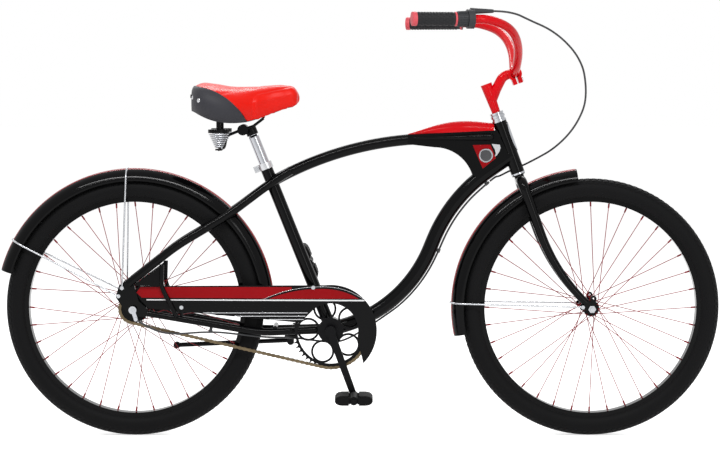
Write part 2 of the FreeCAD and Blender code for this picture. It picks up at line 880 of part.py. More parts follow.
def stay_brace():
    """Curved brace between the left seat stay and chain stay, ahead of the dropout."""
    side = ACROSS * dropout_side()
    upper = REAR_AXLE + Vector(*BRACE_TOP) + side
    knee = REAR_AXLE + Vector(*BRACE_KNEE) + side
    lower = REAR_AXLE + Vector(*BRACE_FOOT) + side
    brace = rod(bent_path([upper, knee, lower], [BRACE_BEND]), size.brace_radius)
    brace = brace.cut(rod(seat_stay_path(), size.seat_stay_radius))
    return largest(brace.cut(rod(chain_stay_path(), size.chain_stay_radius, size.chain_stay_tip_radius)))


BRACE_TOP = (74.0, 0.0, 116.0)
BRACE_KNEE = (72.0, 0.0, 60.0)
BRACE_FOOT = (112.0, 0.0, -20.0)
BRACE_BEND = 70.0
GUSSET = ((0.0, 61.0), (70.0, 61.0), (70.0, 112.0))


def stay_gusset(brace):
    """Web plate that fills the corner between the left dropout, seat stay and brace."""
    corners = [Vector(ahead, 0, height) for ahead, height in GUSSET]
    web = Part.Face(Part.makePolygon(corners + corners[:1])).extrude(ACROSS * size.dropout_wall)
    web.translate(REAR_AXLE + ACROSS * size.rear_hub_width / 2)
    web = web.cut(dropout_plate()).cut(brace)
    return largest(web.cut(rod(seat_stay_path(), size.seat_stay_radius)))


def make_dropouts():
    brace = stay_brace()
    left = [dropout_plate(), brace, stay_gusset(brace)]
    feature("rear_dropouts", Part.makeCompound(left + [mirrored(solid) for solid in left]))


# Steering group

RACE_HEIGHT = 2.5
RACE_RADIUS = 17.0
CUP_RADIUS_LOWER = 18.5


def blade_path():
    """Centre line of the left half of the unicrown: across the crown, down and forward to the tip."""
    half = size.blade_half
    corner = steer(size.blade_bend_place, 0, half)
    tip = FRONT_AXLE + ACROSS * half
    back = (corner - tip).normalize()
    points = [steer(CROWN), steer(CROWN, 0, half), corner, tip + back * TIP_SETBACK]
    return bent_path(points, [size.crown_bend, size.blade_bend])


TIP_SETBACK = 21.0


def fork_tip():
    """Left fork end: a plate with the axle hole, a free eyelet above and the stay's eyelet behind."""
    face = FRONT_AXLE + ACROSS * size.front_hub_width / 2
    over = ACROSS * size.tip_wall
    path = blade_path()
    blade_end = path.Edges[-1].valueAt(path.Edges[-1].LastParameter)
    blade_end.y = face.y
    free_eyelet = face + Vector(*FREE_EYELET)
    stay_eyelet = face + Vector(*FRONT_EYELET)
    tip = pin(face, face + over, size.tip_radius)
    for place, radius in (
        (blade_end, size.blade_tip_radius),
        (free_eyelet, size.eyelet_radius),
        (stay_eyelet, size.eyelet_radius),
    ):
        tip = tip.fuse(pin(place, place + over, radius)).fuse(link_bar(face, place, radius * 2 - 2, over))
    for place in (free_eyelet, stay_eyelet):
        tip = tip.cut(pin(place, place + over, size.eyelet_bore))
    return tip, pin(face, face + over, size.axle_diameter / 2 + FIT)


FREE_EYELET = (4.0, 0.0, 27.0)


def link_bar(start, end, width, over):
    """Flat bar between two points of one plane, as thick as the vector over."""
    side = (end - start).cross(over).normalize() * (width / 2)
    corners = [start + side, end + side, end - side, start - side, start + side]
    return Part.Face(Part.makePolygon(corners)).extrude(over)


def make_fork():
    tip, axle_hole = fork_tip()
    blade = rod(blade_path(), size.blade_radius, size.blade_tip_radius)
    blade = blade.fuse(tip).cut(axle_hole).removeSplitter()
    feature("fork_blades", both_sides(largest(blade)))
    top = CUP_TOP + size.side_clearance + size.lock_nut_height
    steerer = pin(steer(CROWN), steer(top), size.steerer_radius)
    steerer = steerer.fuse(pin(steer(CROWN_TOP), steer(CROWN_TOP + RACE_HEIGHT), RACE_RADIUS))
    bore = pin(steer(CROWN), steer(top), size.steerer_radius - size.steerer_wall)
    crown = rod(blade_path(), size.blade_radius, size.blade_tip_radius)
    steerer = steerer.cut(bore).cut(crown).cut(mirrored(crown))
    feature("fork_steerer", largest(steerer))


def make_headset():
    lower_height = size.lower_stack - RACE_HEIGHT - size.side_clearance
    lower = pin(steer(HEAD_FOOT - lower_height), steer(HEAD_FOOT), CUP_RADIUS_LOWER)
    step = pin(steer(HEAD_TOP + size.upper_cup_height / 2), steer(CUP_TOP), size.upper_cup_radius - 2)
    upper = pin(steer(HEAD_TOP), steer(HEAD_TOP + size.upper_cup_height / 2), size.upper_cup_radius)
    upper = upper.fuse(step)
    shaft = pin(steer(CROWN), steer(CUP_TOP), size.steerer_radius + size.running_clearance)
    feature("headset_cups", Part.makeCompound([lower.cut(shaft), upper.cut(shaft)]))
    nut = "size.upper_cup_radius"
    inner = "size.steerer_radius + 0.05"
    turned(
        "headset_lock_nut",
        [
            (inner, "0"),
            (nut, "0"),
            (nut, "size.lock_nut_height * 0.45"),
            (f"{nut} - 2.5", "size.lock_nut_height * 0.5"),
            (f"{nut} - 2.5", "size.lock_nut_height * 0.6"),
            (f"{nut} - 1", "size.lock_nut_height * 0.65"),
            (f"{nut} - 1", "size.lock_nut_height"),
            (inner, "size.lock_nut_height"),
        ],
        along_axis(steer(CUP_TOP + size.side_clearance), STEER_UP),
    )


def bar_centre():
    """Middle of the handlebar in the stem's clamp."""
    return steer(HEAD_TOP + size.stem_rise, size.stem_reach)


# Stem's arm: height over the bar clamp and share of the reach
STEM_ROUTE = ((-44.0, 0.0), (-22.0, 0.25), (5.0, 0.62), (2.0, 1.0))
STEM_BEND = 30.0
STEM_TAPER = 1.5


def make_stem():
    neck = CUP_TOP + size.side_clearance + size.lock_nut_height
    top = HEAD_TOP + size.stem_rise
    quill = pin(steer(neck - size.stem_quill_depth), steer(neck + NECK_STEP), size.stem_quill_radius)
    flare_foot = steer(neck + NECK_STEP)
    flare_height = top - neck - NECK_STEP
    flare = Part.makeCone(size.stem_quill_radius, size.stem_head_radius, flare_height, flare_foot, STEER_UP)
    arm_points = [steer(top + rise, size.stem_reach * share) for rise, share in STEM_ROUTE]
    arm_path = bent_path(arm_points, [STEM_BEND] * (len(arm_points) - 2))
    arm = rod(arm_path, size.stem_arm_radius, size.stem_arm_radius - STEM_TAPER)
    centre = bar_centre()
    half = ACROSS * size.stem_clamp_half
    clamp = pin(centre - half, centre + half, size.bar_radius + size.stem_clamp_wall)
    ears = link_bar(centre - half, centre - half - STEER_UP * EAR_DROP, EAR_WIDTH, half * 2)
    slot = link_bar(centre - half * 2, centre - half * 2 - STEER_UP * BIG_EAR, EAR_SLOT, half * 4)
    bore = rod(handlebar_path(), size.bar_radius + FIT)
    stem = quill.fuse(flare).fuse(arm).fuse(clamp).fuse(ears).cut(slot).cut(bore)
    feature("stem", largest(stem.removeSplitter()))


NECK_STEP = 6.0
EAR_DROP = 27.0
EAR_WIDTH = 26.0
EAR_SLOT = 4.0
BIG_EAR = 60.0

# Handlebar corners as shares of its sweep back, half width and rise
BAR_SHAPE = (
    (0.0, 0.09, 0.0),
    (0.015, 0.394, 0.46),
    (-0.075, 0.697, 0.83),
    (-0.291, 0.8746, 1.0),
    (-1.0, 1.0, 1.0),
)
BAR_BENDS = (60.0, 150.0, 70.0, 90.0)


def bar_corner(share, side):
    """One corner of the handlebar on the left or right."""
    ahead, across, rise = share
    shape = Vector(ahead * size.bar_sweep, side * across * size.bar_half_width, rise * size.bar_rise)
    return bar_centre() + shape


def bar_end(side):
    """End of the handlebar and the direction that runs inwards along the grip."""
    end = bar_corner(BAR_SHAPE[-1], side)
    return end, (bar_corner(BAR_SHAPE[-2], side) - end).normalize()


def handlebar_path():
    """Centre line of the handlebar from the left end to the right."""
    left = [bar_corner(share, 1) for share in reversed(BAR_SHAPE)]
    right = [bar_corner(share, -1) for share in BAR_SHAPE]
    bends = list(reversed(BAR_BENDS[1:])) + [BAR_BENDS[0], BAR_BENDS[0]] + list(BAR_BENDS[1:])
    return bent_path(left + right, bends)


def make_handlebar():
    feature("handlebar", hollow(handlebar_path(), size.bar_radius, size.tube_wall))


def grip_outline(length):
    """Closed rubber grip on the bar's end, with a thicker ring at each end."""
    bore = "size.bar_radius + 0.05"
    lip = "size.grip_radius + 1"
    return [
        ("0", "-4"),
        (lip, "-4"),
        (lip, "5"),
        ("size.grip_radius", "5"),
        ("size.grip_radius", f"{length} - 5"),
        (lip, f"{length} - 5"),
        (lip, length),
        (bore, length),
        (bore, "0"),
        ("0", "0"),
    ]


def make_grips():
    right_end, inward = bar_end(-1)
    right = turned_body("grip_right", grip_outline("size.grip_length"), along_axis(right_end, inward))
    left_end, left_inward = bar_end(1)
    left_length = "(size.grip_length + size.twist_length + size.shifter_length)"
    left = turned_body("grip_left", grip_outline(left_length), along_axis(left_end, left_inward))
    gathered("grips", [right, left])
    twist_start = size.grip_length + size.side_clearance
    bore = "size.bar_radius + size.running_clearance"
    turned(
        "twist_grip",
        [
            (bore, "0"),
            ("size.grip_radius + 2", "0"),
            ("size.twist_radius", "size.twist_length"),
            (bore, "size.twist_length"),
        ],
        along_axis(right_end + inward * twist_start, inward),
    )
    housing_start = right_end + inward * (twist_start + size.twist_length + size.side_clearance)
    housing_end = housing_start + inward * size.shifter_length
    housing = pin(housing_start, housing_end, size.shifter_radius)
    nose_start = housing_start + inward * (size.shifter_length / 2) + UP * NOSE_LIFT
    nose = rod(straight(nose_start, nose_start + inward * NOSE_LENGTH), NOSE_RADIUS, size.cable_radius + 2)
    bar = pin(right_end, housing_end + inward * NOSE_LENGTH, size.bar_radius + FIT)
    feature("shifter_housing", largest(housing.fuse(nose).cut(bar).removeSplitter()))


NOSE_LIFT = 19.5
NOSE_LENGTH = 58.0
NOSE_RADIUS = 8.0


# Drive

def pitch_radius(teeth):
    return size.chain_pitch / (2 * math.sin(math.pi / teeth))


RING_RADIUS = pitch_radius(size.chainring_teeth)
SPROCKET_RADIUS = pitch_radius(size.sprocket_teeth)
CHAIN_AHEAD = (BRACKET - REAR_AXLE).normalize()
CHAIN_UP = Vector(-CHAIN_AHEAD.z, 0, CHAIN_AHEAD.x)
CHAIN_LEAN = math.asin((RING_RADIUS - SPROCKET_RADIUS) / (BRACKET - REAR_AXLE).Length)
CHAIN_RUN = (BRACKET - REAR_AXLE).Length * math.cos(CHAIN_LEAN)
RING_WRAP = math.pi + 2 * CHAIN_LEAN
SPROCKET_WRAP = math.pi - 2 * CHAIN_LEAN
CHAIN_LENGTH = RING_RADIUS * RING_WRAP + SPROCKET_RADIUS * SPROCKET_WRAP + 2 * CHAIN_RUN
CHAIN_LINKS = round(CHAIN_LENGTH / size.chain_pitch)


def chain_normal(turn):
    """Unit vector at an angle from straight ahead along the chain's centre line, towards up."""
    return CHAIN_AHEAD * math.cos(turn) + CHAIN_UP * math.sin(turn)


def roller_centre(index):
    """Centre of one chain roller, counted from the top of the chainring round its front."""
    place = index * CHAIN_LENGTH / CHAIN_LINKS
    top = math.pi / 2 + CHAIN_LEAN
    if place < RING_RADIUS * RING_WRAP:
        return BRACKET + chain_normal(top - place / RING_RADIUS) * RING_RADIUS
    place -= RING_RADIUS * RING_WRAP
    lower = chain_normal(-top)
    if place < CHAIN_RUN:
        start = BRACKET + lower * RING_RADIUS
        return start + (REAR_AXLE + lower * SPROCKET_RADIUS - start) * (place / CHAIN_RUN)
    place -= CHAIN_RUN
    if place < SPROCKET_RADIUS * SPROCKET_WRAP:
        return REAR_AXLE + chain_normal(-top - place / SPROCKET_RADIUS) * SPROCKET_RADIUS
    place -= SPROCKET_RADIUS * SPROCKET_WRAP
    upper = chain_normal(top)
    start = REAR_AXLE + upper * SPROCKET_RADIUS
    return start + (BRACKET + upper * RING_RADIUS - start) * (place / CHAIN_RUN)


def belt_face(offset):
    """Flat face inside the chain's closed line, moved outwards by an offset."""
    top = chain_normal(math.pi / 2 + CHAIN_LEAN)
    low = chain_normal(-math.pi / 2 - CHAIN_LEAN)
    ring_radius = RING_RADIUS + offset
    sprocket_radius = SPROCKET_RADIUS + offset
    ring_arc = Part.Arc(
        BRACKET + top * ring_radius, BRACKET + CHAIN_AHEAD * ring_radius, BRACKET + low * ring_radius
    )
    sprocket_arc = Part.Arc(
        REAR_AXLE + low * sprocket_radius,
        REAR_AXLE - CHAIN_AHEAD * sprocket_radius,
        REAR_AXLE + top * sprocket_radius,
    )
    lower = Part.LineSegment(BRACKET + low * ring_radius, REAR_AXLE + low * sprocket_radius)
    upper = Part.LineSegment(REAR_AXLE + top * sprocket_radius, BRACKET + top * ring_radius)
    return Part.Face(Part.Wire([edge.toShape() for edge in (ring_arc, lower, sprocket_arc, upper)]))


def make_chain():
    half = size.chain_plate_height / 2
    band = belt_face(half).cut(belt_face(-half))
    solids = []
    for side in (-1, 1):
        plate = band.extrude(ACROSS * side * size.chain_plate_wall)
        plate.translate(ACROSS * (side * size.chain_inner_half - size.chain_line))
        solids.append(plate)
    for index in range(CHAIN_LINKS):
        middle = roller_centre(index) - ACROSS * size.chain_line
        reach = ACROSS * size.chain_inner_half
        solids.append(pin(middle - reach, middle + reach, size.roller_radius))
    feature("chain", Part.makeCompound(solids))


TOOTH_HEIGHT = 3.6
GULLET_GAP = 0.7
GULLET_FLARE = 1.9


def toothed_disc(centre, teeth, first):
    """Sprocket blank with roller gullets; first is the direction of one gullet."""
    over = ACROSS * size.sprocket_wall
    base = centre - ACROSS * (size.chain_line + size.sprocket_wall / 2)
    radius = pitch_radius(teeth)
    disc = pin(base, base + over, radius + TOOTH_HEIGHT)
    gullet = size.roller_radius + GULLET_GAP
    tools = []
    for index in range(int(teeth)):
        outward = Rotation(SPIN, 360 / teeth * index).multVec(first)
        side = outward.cross(ACROSS)
        seat_point = base + outward * radius
        lip = outward * (TOOTH_HEIGHT + 1)
        corners = [
            seat_point + side * gullet,
            seat_point + lip + side * (gullet + GULLET_FLARE),
            seat_point + lip - side * (gullet + GULLET_FLARE),
            seat_point - side * gullet,
        ]
        tools.append(Part.Face(Part.makePolygon(corners + corners[:1])).extrude(over))
        tools.append(pin(seat_point, seat_point + over, gullet))
    return disc.cut(Part.makeCompound(tools))


CRANK_DOWN = Vector(sine(size.crank_rest_angle), 0, -cosine(size.crank_rest_angle))
LOOP_CENTRE = 0.6
LOOP_OUTER = 30.0
LOOP_WALL = 5.5
RING_INNER = 0.885
SPIDER_RADIUS = 33.0
LOOP_COUNT = 5
LOOP_PHASE = 31.0


def make_chainring():
    over = ACROSS * size.sprocket_wall
    base = BRACKET - ACROSS * (size.chain_line + size.sprocket_wall / 2)
    ring = toothed_disc(BRACKET, size.chainring_teeth, chain_normal(math.pi / 2 + CHAIN_LEAN))
    ring = ring.cut(pin(base, base + over, RING_RADIUS * RING_INNER))
    ring = ring.fuse(pin(base, base + over, SPIDER_RADIUS))
    loops = []
    windows = []
    for index in range(LOOP_COUNT):
        turn = Rotation(SPIN, LOOP_PHASE + 360 / LOOP_COUNT * index)
        middle = base + turn.multVec(CRANK_DOWN) * (RING_RADIUS * LOOP_CENTRE)
        loops.append(pin(middle, middle + over, LOOP_OUTER))
        windows.append(pin(middle, middle + over, LOOP_OUTER - LOOP_WALL))
    for loop in loops:
        ring = ring.fuse(loop)
    for window in windows:
        ring = ring.cut(window)
    hole = pin(base, base + over, size.crank_spindle_radius + FIT)
    feature("chainring", largest(ring.cut(hole).removeSplitter()))


def make_sprocket():
    wrap_middle = RING_RADIUS * RING_WRAP + CHAIN_RUN + SPROCKET_RADIUS * SPROCKET_WRAP / 2
    middle_roller = round(wrap_middle * CHAIN_LINKS / CHAIN_LENGTH)
    outward = (roller_centre(middle_roller) - REAR_AXLE).normalize()
    disc = toothed_disc(REAR_AXLE, size.sprocket_teeth, outward)
    inner = REAR_AXLE - ACROSS * (size.rear_shell_right + size.side_clearance)
    outer = REAR_AXLE - ACROSS * (size.chain_line + SPROCKET_CARRIER)
    carrier = pin(inner, outer, size.cone_radius + CARRIER_WALL)
    bore = pin(inner, outer, size.axle_diameter / 2 + size.running_clearance)
    feature("rear_sprocket", largest(disc.fuse(carrier).cut(bore).removeSplitter()))


SPINDLE_COLLAR = 3.0


def crank_arm(side, direction):
    """One crank arm with its pedal spindle, on the right for -1 and on the left for 1."""
    wall = ACROSS * side * (2 * size.crank_arm_half_wall)
    root = BRACKET + ACROSS * side * (size.crank_arm_place - size.crank_arm_half_wall)
    eye = root + direction * size.crank_length
    across = direction.cross(ACROSS)
    wide = across * (size.crank_arm_radius * ARM_ROOT_SHARE)
    narrow = across * (size.crank_eye_radius * ARM_EYE_SHARE)
    corners = [root + wide, eye + narrow, eye - narrow, root - wide, root + wide]
    arm = Part.Face(Part.makePolygon(corners)).extrude(wall)
    arm = arm.fuse(pin(root, root + wall, size.crank_arm_radius))
    arm = arm.fuse(pin(eye, eye + wall, size.crank_eye_radius))
    collar = eye + wall + ACROSS * side * SPINDLE_COLLAR
    spindle_end = collar + ACROSS * side * (size.pedal_width + SPINDLE_COLLAR)
    return arm.fuse(pin(eye + wall, collar, size.pedal_spindle_radius + 3)).fuse(
        pin(collar, spindle_end, size.pedal_spindle_radius)
    )


ARM_ROOT_SHARE = 0.72
ARM_EYE_SHARE = 0.72


def make_crank():
    inner = ACROSS * (size.crank_arm_place - size.crank_arm_half_wall)
    spindle = pin(BRACKET - inner, BRACKET + inner, size.crank_spindle_radius)
    crank = spindle.fuse(crank_arm(-1, CRANK_DOWN)).fuse(crank_arm(1, CRANK_DOWN * -1))
    feature("crank_arms", largest(crank.removeSplitter()))
    cups = []
    for side in (-1, 1):
        face = BRACKET + ACROSS * side * (size.bottom_bracket_width / 2)
        cup = pin(face - ACROSS * side * CUP_DEPTH, face, size.bottom_bracket_bore)
        cup = cup.fuse(pin(face, face + ACROSS * side * CUP_FLANGE, size.bottom_bracket_radius - 1))
        bore = size.crank_spindle_radius + size.running_clearance
        cups.append(cup.cut(pin(BRACKET - inner, BRACKET + inner, bore)).removeSplitter())
    feature("bottom_bracket_cups", Part.makeCompound(cups))


CUP_DEPTH = 12.0
CUP_FLANGE = 2.5


def make_pedal(label, side, direction, turn):
    """Block pedal on its spindle: a barrel, two rubber blocks and two cage plates."""
    width = size.pedal_width
    barrel = Part.makeCylinder(size.pedal_barrel_radius, width, Vector(), ACROSS)
    block_length = size.pedal_length / 2 - size.pedal_barrel_radius - PEDAL_GAP
    pedal = barrel
    for sign in (-1, 1):
        low = -size.pedal_length / 2 if sign < 0 else size.pedal_barrel_radius + PEDAL_GAP
        corner = Vector(low, PEDAL_INSET, -size.pedal_height / 2)
        block = Part.makeBox(block_length, width - 2 * PEDAL_INSET, size.pedal_height, corner)
        along_y = [edge for edge in block.Edges if abs(edge.tangentAt(0).y) > 0.9]
        pedal = pedal.fuse(block.makeFillet(PEDAL_ROUND, along_y))
    for start in (0.0, width - PEDAL_INSET):
        corner = Vector(-size.pedal_length / 2 + PEDAL_ROUND, start, -size.pedal_height / 2 + PEDAL_ROUND)
        length = size.pedal_length - 2 * PEDAL_ROUND
        pedal = pedal.fuse(Part.makeBox(length, PEDAL_INSET, size.pedal_height - 2 * PEDAL_ROUND, corner))
    bore = size.pedal_spindle_radius + size.running_clearance
    pedal = pedal.cut(Part.makeCylinder(bore, width, Vector(), ACROSS)).removeSplitter()
    inner = size.crank_arm_place + size.crank_arm_half_wall + SPINDLE_COLLAR + size.side_clearance
    near = inner if side > 0 else -inner - width
    place = BRACKET + direction * size.crank_length + ACROSS * near
    feature(label, largest(pedal), Placement(place, Rotation(SPIN, turn)))


PEDAL_GAP = 3.0
PEDAL_INSET = 4.0
PEDAL_ROUND = 8.0


def make_drive():
    make_chain()
    make_chainring()
    make_sprocket()
    make_crank()
    make_pedal("pedal_right", -1, CRANK_DOWN, 0.0)
    make_pedal("pedal_left", 1, CRANK_DOWN * -1, 90.0 + size.seat_tilt)


# Chain guard, kickstand and rear axle fittings

GUARD_FRONT_LOW = -45.0
GUARD_FRONT_MID = 25.0
GUARD_FRONT_TOP = 97.0
WINDOW_TOP = 126.0
WINDOW_MID = 55.0
WINDOW_LOW = -15.0
GUARD_TAIL_LOW = 58.0
GUARD_BELLY = (-78.0, 21.0)
GUARD_SEAT_HEIGHT = 112.0
GUARD_STAY_SHARE = 0.66
GUARD_PIN_RADIUS = 4.0


GUARD_TAIL_SLANT = 14.0
GUARD_TAIL_DROP = 15.0
GUARD_TAIL_SET_BACK = 38.0


def make_guard():
    """Flat guard: a long tail over the upper chain run and a crescent round the chainring's front."""
    centre = BRACKET - ACROSS * (size.guard_place + size.guard_wall / 2)
    outer = size.guard_outer_radius
    window = size.guard_window_radius
    tip = around(centre, outer, GUARD_FRONT_LOW)
    crest = around(centre, outer, GUARD_FRONT_TOP)
    tail_top = centre + Vector(GUARD_TAIL_SLANT - size.guard_tail, 0, size.guard_top)
    tail_tip = centre + Vector(-size.guard_tail, 0, size.guard_top - GUARD_TAIL_DROP)
    tail_low = centre + Vector(GUARD_TAIL_SET_BACK - size.guard_tail, 0, GUARD_TAIL_LOW)
    belly = centre + Vector(GUARD_BELLY[0], 0, GUARD_BELLY[1])
    window_start = around(centre, window, WINDOW_TOP)
    window_end = around(centre, window, WINDOW_LOW)
    edges = [
        Part.Arc(tip, around(centre, outer, GUARD_FRONT_MID), crest),
        Part.LineSegment(crest, tail_top),
        Part.LineSegment(tail_top, tail_tip),
        Part.LineSegment(tail_tip, tail_low),
        Part.LineSegment(tail_low, belly),
        Part.LineSegment(belly, window_start),
        Part.Arc(window_start, around(centre, window, WINDOW_MID), window_end),
        Part.LineSegment(window_end, tip),
    ]
    face = Part.Face(Part.Wire([edge.toShape() for edge in edges]))
    feature("chain_guard", face.extrude(ACROSS * size.guard_wall))


def guard_mounts():
    """Centres, on the guard's plane, of the bracket at the seat tube and the one at the chain stay."""
    rise = GUARD_SEAT_HEIGHT / cosine(size.seat_tilt)
    path = chain_stay_path()
    straight_run = path.Edges[-1]
    span = straight_run.LastParameter - straight_run.FirstParameter
    stay = straight_run.valueAt(straight_run.FirstParameter + span * GUARD_STAY_SHARE)
    return seat(rise), Vector(stay.x, 0, stay.z + GUARD_STAY_LIFT), Vector(stay.x, -stay.y, stay.z)


GUARD_STAY_LIFT = 30.0


def make_guard_brackets():
    upper, lower, stay = guard_mounts()
    inner = ACROSS * -(size.guard_place - size.guard_wall / 2)
    arm = pin(upper, upper + inner, GUARD_PIN_RADIUS)
    arm = largest(arm.cut(seat_envelope()).cut(mirrored(rod(seat_stay_path(), size.seat_stay_radius))))
    post = rod(straight(stay, lower + inner * POST_SHARE), GUARD_PIN_RADIUS)
    tab = pin(lower + inner * POST_SHARE + ACROSS * GUARD_PIN_RADIUS, lower + inner, GUARD_PIN_RADIUS)
    chain_stay = rod(chain_stay_path(), size.chain_stay_radius, size.chain_stay_tip_radius)
    foot = post.fuse(tab).cut(mirrored(chain_stay)).cut(node_shape("chain_guard"))
    foot = largest(foot.removeSplitter())
    feature("chain_guard_brackets", Part.makeCompound([arm, foot]))


POST_SHARE = 1.0 - 0.09

STAND_STOWED_DROP = 13.0
STAND_STOWED = Vector(-size.stand_length, 0.0, -STAND_STOWED_DROP).normalize()
STAND_DOWN = Vector(-0.53, 0.27, -0.80).normalize()
STAND_AXIS = STAND_STOWED.cross(STAND_DOWN).normalize()
STAND_HEAD = 9.0
STAND_PIN = 3.5
STAND_CHEEK = 5.0


def stand_pivot():
    return BRACKET + Vector(-size.stand_back, size.stand_half, -size.stand_drop)


def make_kickstand():
    pivot = stand_pivot()
    head_half = STAND_AXIS * (size.stand_radius + 0.5)
    leg = pin(pivot - head_half, pivot + head_half, STAND_HEAD)
    foot = pivot + STAND_STOWED * size.stand_length
    leg = leg.fuse(pin(pivot, foot, size.stand_radius)).fuse(Part.makeSphere(size.stand_foot_radius, foot))
    bore = pin(pivot - head_half * 2, pivot + head_half * 2, STAND_PIN + size.running_clearance)
    feature("kickstand_leg", leg.cut(bore).removeSplitter())
    gap = STAND_AXIS * (size.stand_radius + 0.5 + size.side_clearance)
    plate_low = pivot.z + STAND_HEAD + PLATE_GAP
    corner = Vector(pivot.x - PLATE_HALF, -PLATE_RIGHT, plate_low)
    plate = Part.makeBox(2 * PLATE_HALF, PLATE_RIGHT + pivot.y + PLATE_LEFT, PLATE_WALL, corner)
    bracket = plate.fuse(pin(pivot - gap * PIN_OVERRUN, pivot + gap * PIN_OVERRUN, STAND_PIN))
    lift = (UP - STAND_AXIS * UP.dot(STAND_AXIS)).normalize() * (STAND_HEAD + PLATE_GAP + PLATE_WALL / 2)
    for sign in (-1, 1):
        start = pivot + gap * sign
        wall = STAND_AXIS * sign * STAND_CHEEK
        bracket = bracket.fuse(pin(start, start + wall, STAND_HEAD))
        bracket = bracket.fuse(link_bar(start, start + lift, 2 * STAND_HEAD, wall))
    stay = rod(chain_stay_path(), size.chain_stay_radius, size.chain_stay_tip_radius)
    bracket = bracket.cut(stay).cut(mirrored(stay)).cut(bracket_envelope())
    feature("kickstand_bracket", largest(bracket.removeSplitter()))


PIN_OVERRUN = 1.2
PLATE_GAP = 2.2
PLATE_HALF = 14.0
PLATE_RIGHT = 8.0
PLATE_LEFT = 14.0
PLATE_WALL = 13.0

BELL_LENGTH = 9.0
BELL_RADIUS = 10.0
BELL_TAIL = (8.0, 0.0, -24.0)
BELL_GAP = 0.3
BELL_ARM_WIDTH = 10.0
BELL_ARM_WALL = 4.0
BELL_EYE_RADIUS = 5.0
BELL_EYE_LENGTH = 7.0
BELL_PIN_DEPTH = 3.5


def bell_face():
    """Inner face of the bell crank, outside the right axle nut."""
    out = size.rear_hub_width / 2 + size.dropout_wall + size.nut_height + BELL_GAP
    return REAR_AXLE - ACROSS * out


def make_bell_crank():
    face = bell_face()
    end = face - ACROSS * BELL_LENGTH
    tail = face + Vector(*BELL_TAIL)
    bell = pin(face, end, BELL_RADIUS).fuse(link_bar(face, tail, BELL_ARM_WIDTH, ACROSS * -BELL_ARM_WALL))
    bell = bell.fuse(pin(tail, tail - ACROSS * BELL_EYE_LENGTH, BELL_EYE_RADIUS))
    bell = bell.cut(pin(face, end, size.axle_diameter / 2 + FIT))
    bell = bell.cut(rod(run_path(), size.cable_radius + FIT))
    feature("bell_crank", largest(bell.removeSplitter()))


BRAKE_WALL = 5.0
BRAKE_SHARE = 0.8
BRAKE_GAP = 1.0
BRAKE_DISC_RADIUS = 17.0
BRAKE_ARM_WIDTH = 16.0
STRAP_HALF = 6.0
STRAP_WALL = 2.0


def make_brake_arm():
    face = REAR_AXLE + ACROSS * (size.rear_shell_left + BRAKE_GAP)
    over = ACROSS * BRAKE_WALL
    path = chain_stay_path()
    run = path.Edges[-1]
    stay = run.valueAt(run.FirstParameter + (run.LastParameter - run.FirstParameter) * BRAKE_SHARE)
    lean = run.tangentAt(run.LastParameter)
    strap_half = lean * STRAP_HALF
    end = Vector(stay.x, face.y, stay.z)
    arm = pin(face, face + over, BRAKE_DISC_RADIUS).fuse(link_bar(face, end, BRAKE_ARM_WIDTH, over))
    arm = arm.fuse(pin(stay - strap_half, stay + strap_half, size.chain_stay_radius + STRAP_WALL))
    arm = arm.cut(pin(face, face + over * 3, size.axle_diameter / 2 + FIT))
    arm = arm.cut(rod(chain_stay_path(), size.chain_stay_radius, size.chain_stay_tip_radius))
    feature("brake_arm", largest(arm.removeSplitter()))


# Tank between the top tube and the down tube

def tank_point(ahead, height, side=0.0):
    """Point measured from where the top tube meets the steering axis."""
    return steer(HEAD_TOP - size.top_tube_drop) + Vector(ahead, side, height)


TANK_REAR = (-250.0, 3.0)
TANK_FRONT = (-20.0, 14.0)
TANK_HEAD = (20.0, -70.0)
TANK_FOOT = (-60.0, -112.0)
TANK_ARCH = ((-83.0, -103.0), (-112.0, -57.0), (-181.0, -30.0))
TANK_TAIL = (-250.0, -22.0)
POD_REAR = (-235.0, -7.0)
POD_FRONT = (-38.0, -3.0)
POD_RADIUS = 10.0
POD_TAIL_RADIUS = 3.0


def make_tank():
    half = size.tank_half_width
    points = [tank_point(*place, -half) for place in (TANK_REAR, TANK_FRONT, TANK_HEAD, TANK_FOOT)]
    arch = [tank_point(*place, -half) for place in TANK_ARCH]
    tail = tank_point(*TANK_TAIL, -half)
    runs = zip(points + [arch[2], tail], points[1:] + [arch[0], tail, points[0]])
    edges = [Part.LineSegment(start, end).toShape() for start, end in runs]
    edges.insert(4, Part.Arc(*arch).toShape())
    body = Part.Face(Part.Wire(edges)).extrude(ACROSS * 2 * half)
    for side in (-1, 1):
        start = tank_point(*POD_REAR, side * half)
        end = tank_point(*POD_FRONT, side * half)
        body = body.fuse(rod(straight(start, end), POD_TAIL_RADIUS, POD_RADIUS))
        body = body.fuse(Part.makeSphere(POD_RADIUS, end))
    body = body.cut(rod(top_tube_path(), size.top_tube_radius)).cut(head_envelope())
    body = body.cut(rod(down_tube_path(), size.down_tube_radius))
    feature("tank_body", largest(body.removeSplitter()))


# Tank cover sections: place ahead, share of the width and share of the height
COVER_STATIONS = (
    (-249.0, 0.12, 0.05),
    (-200.0, 0.55, 0.55),
    (-154.0, 0.86, 0.94),
    (-85.0, 1.0, 1.0),
    (-28.0, 0.9, 0.7),
)


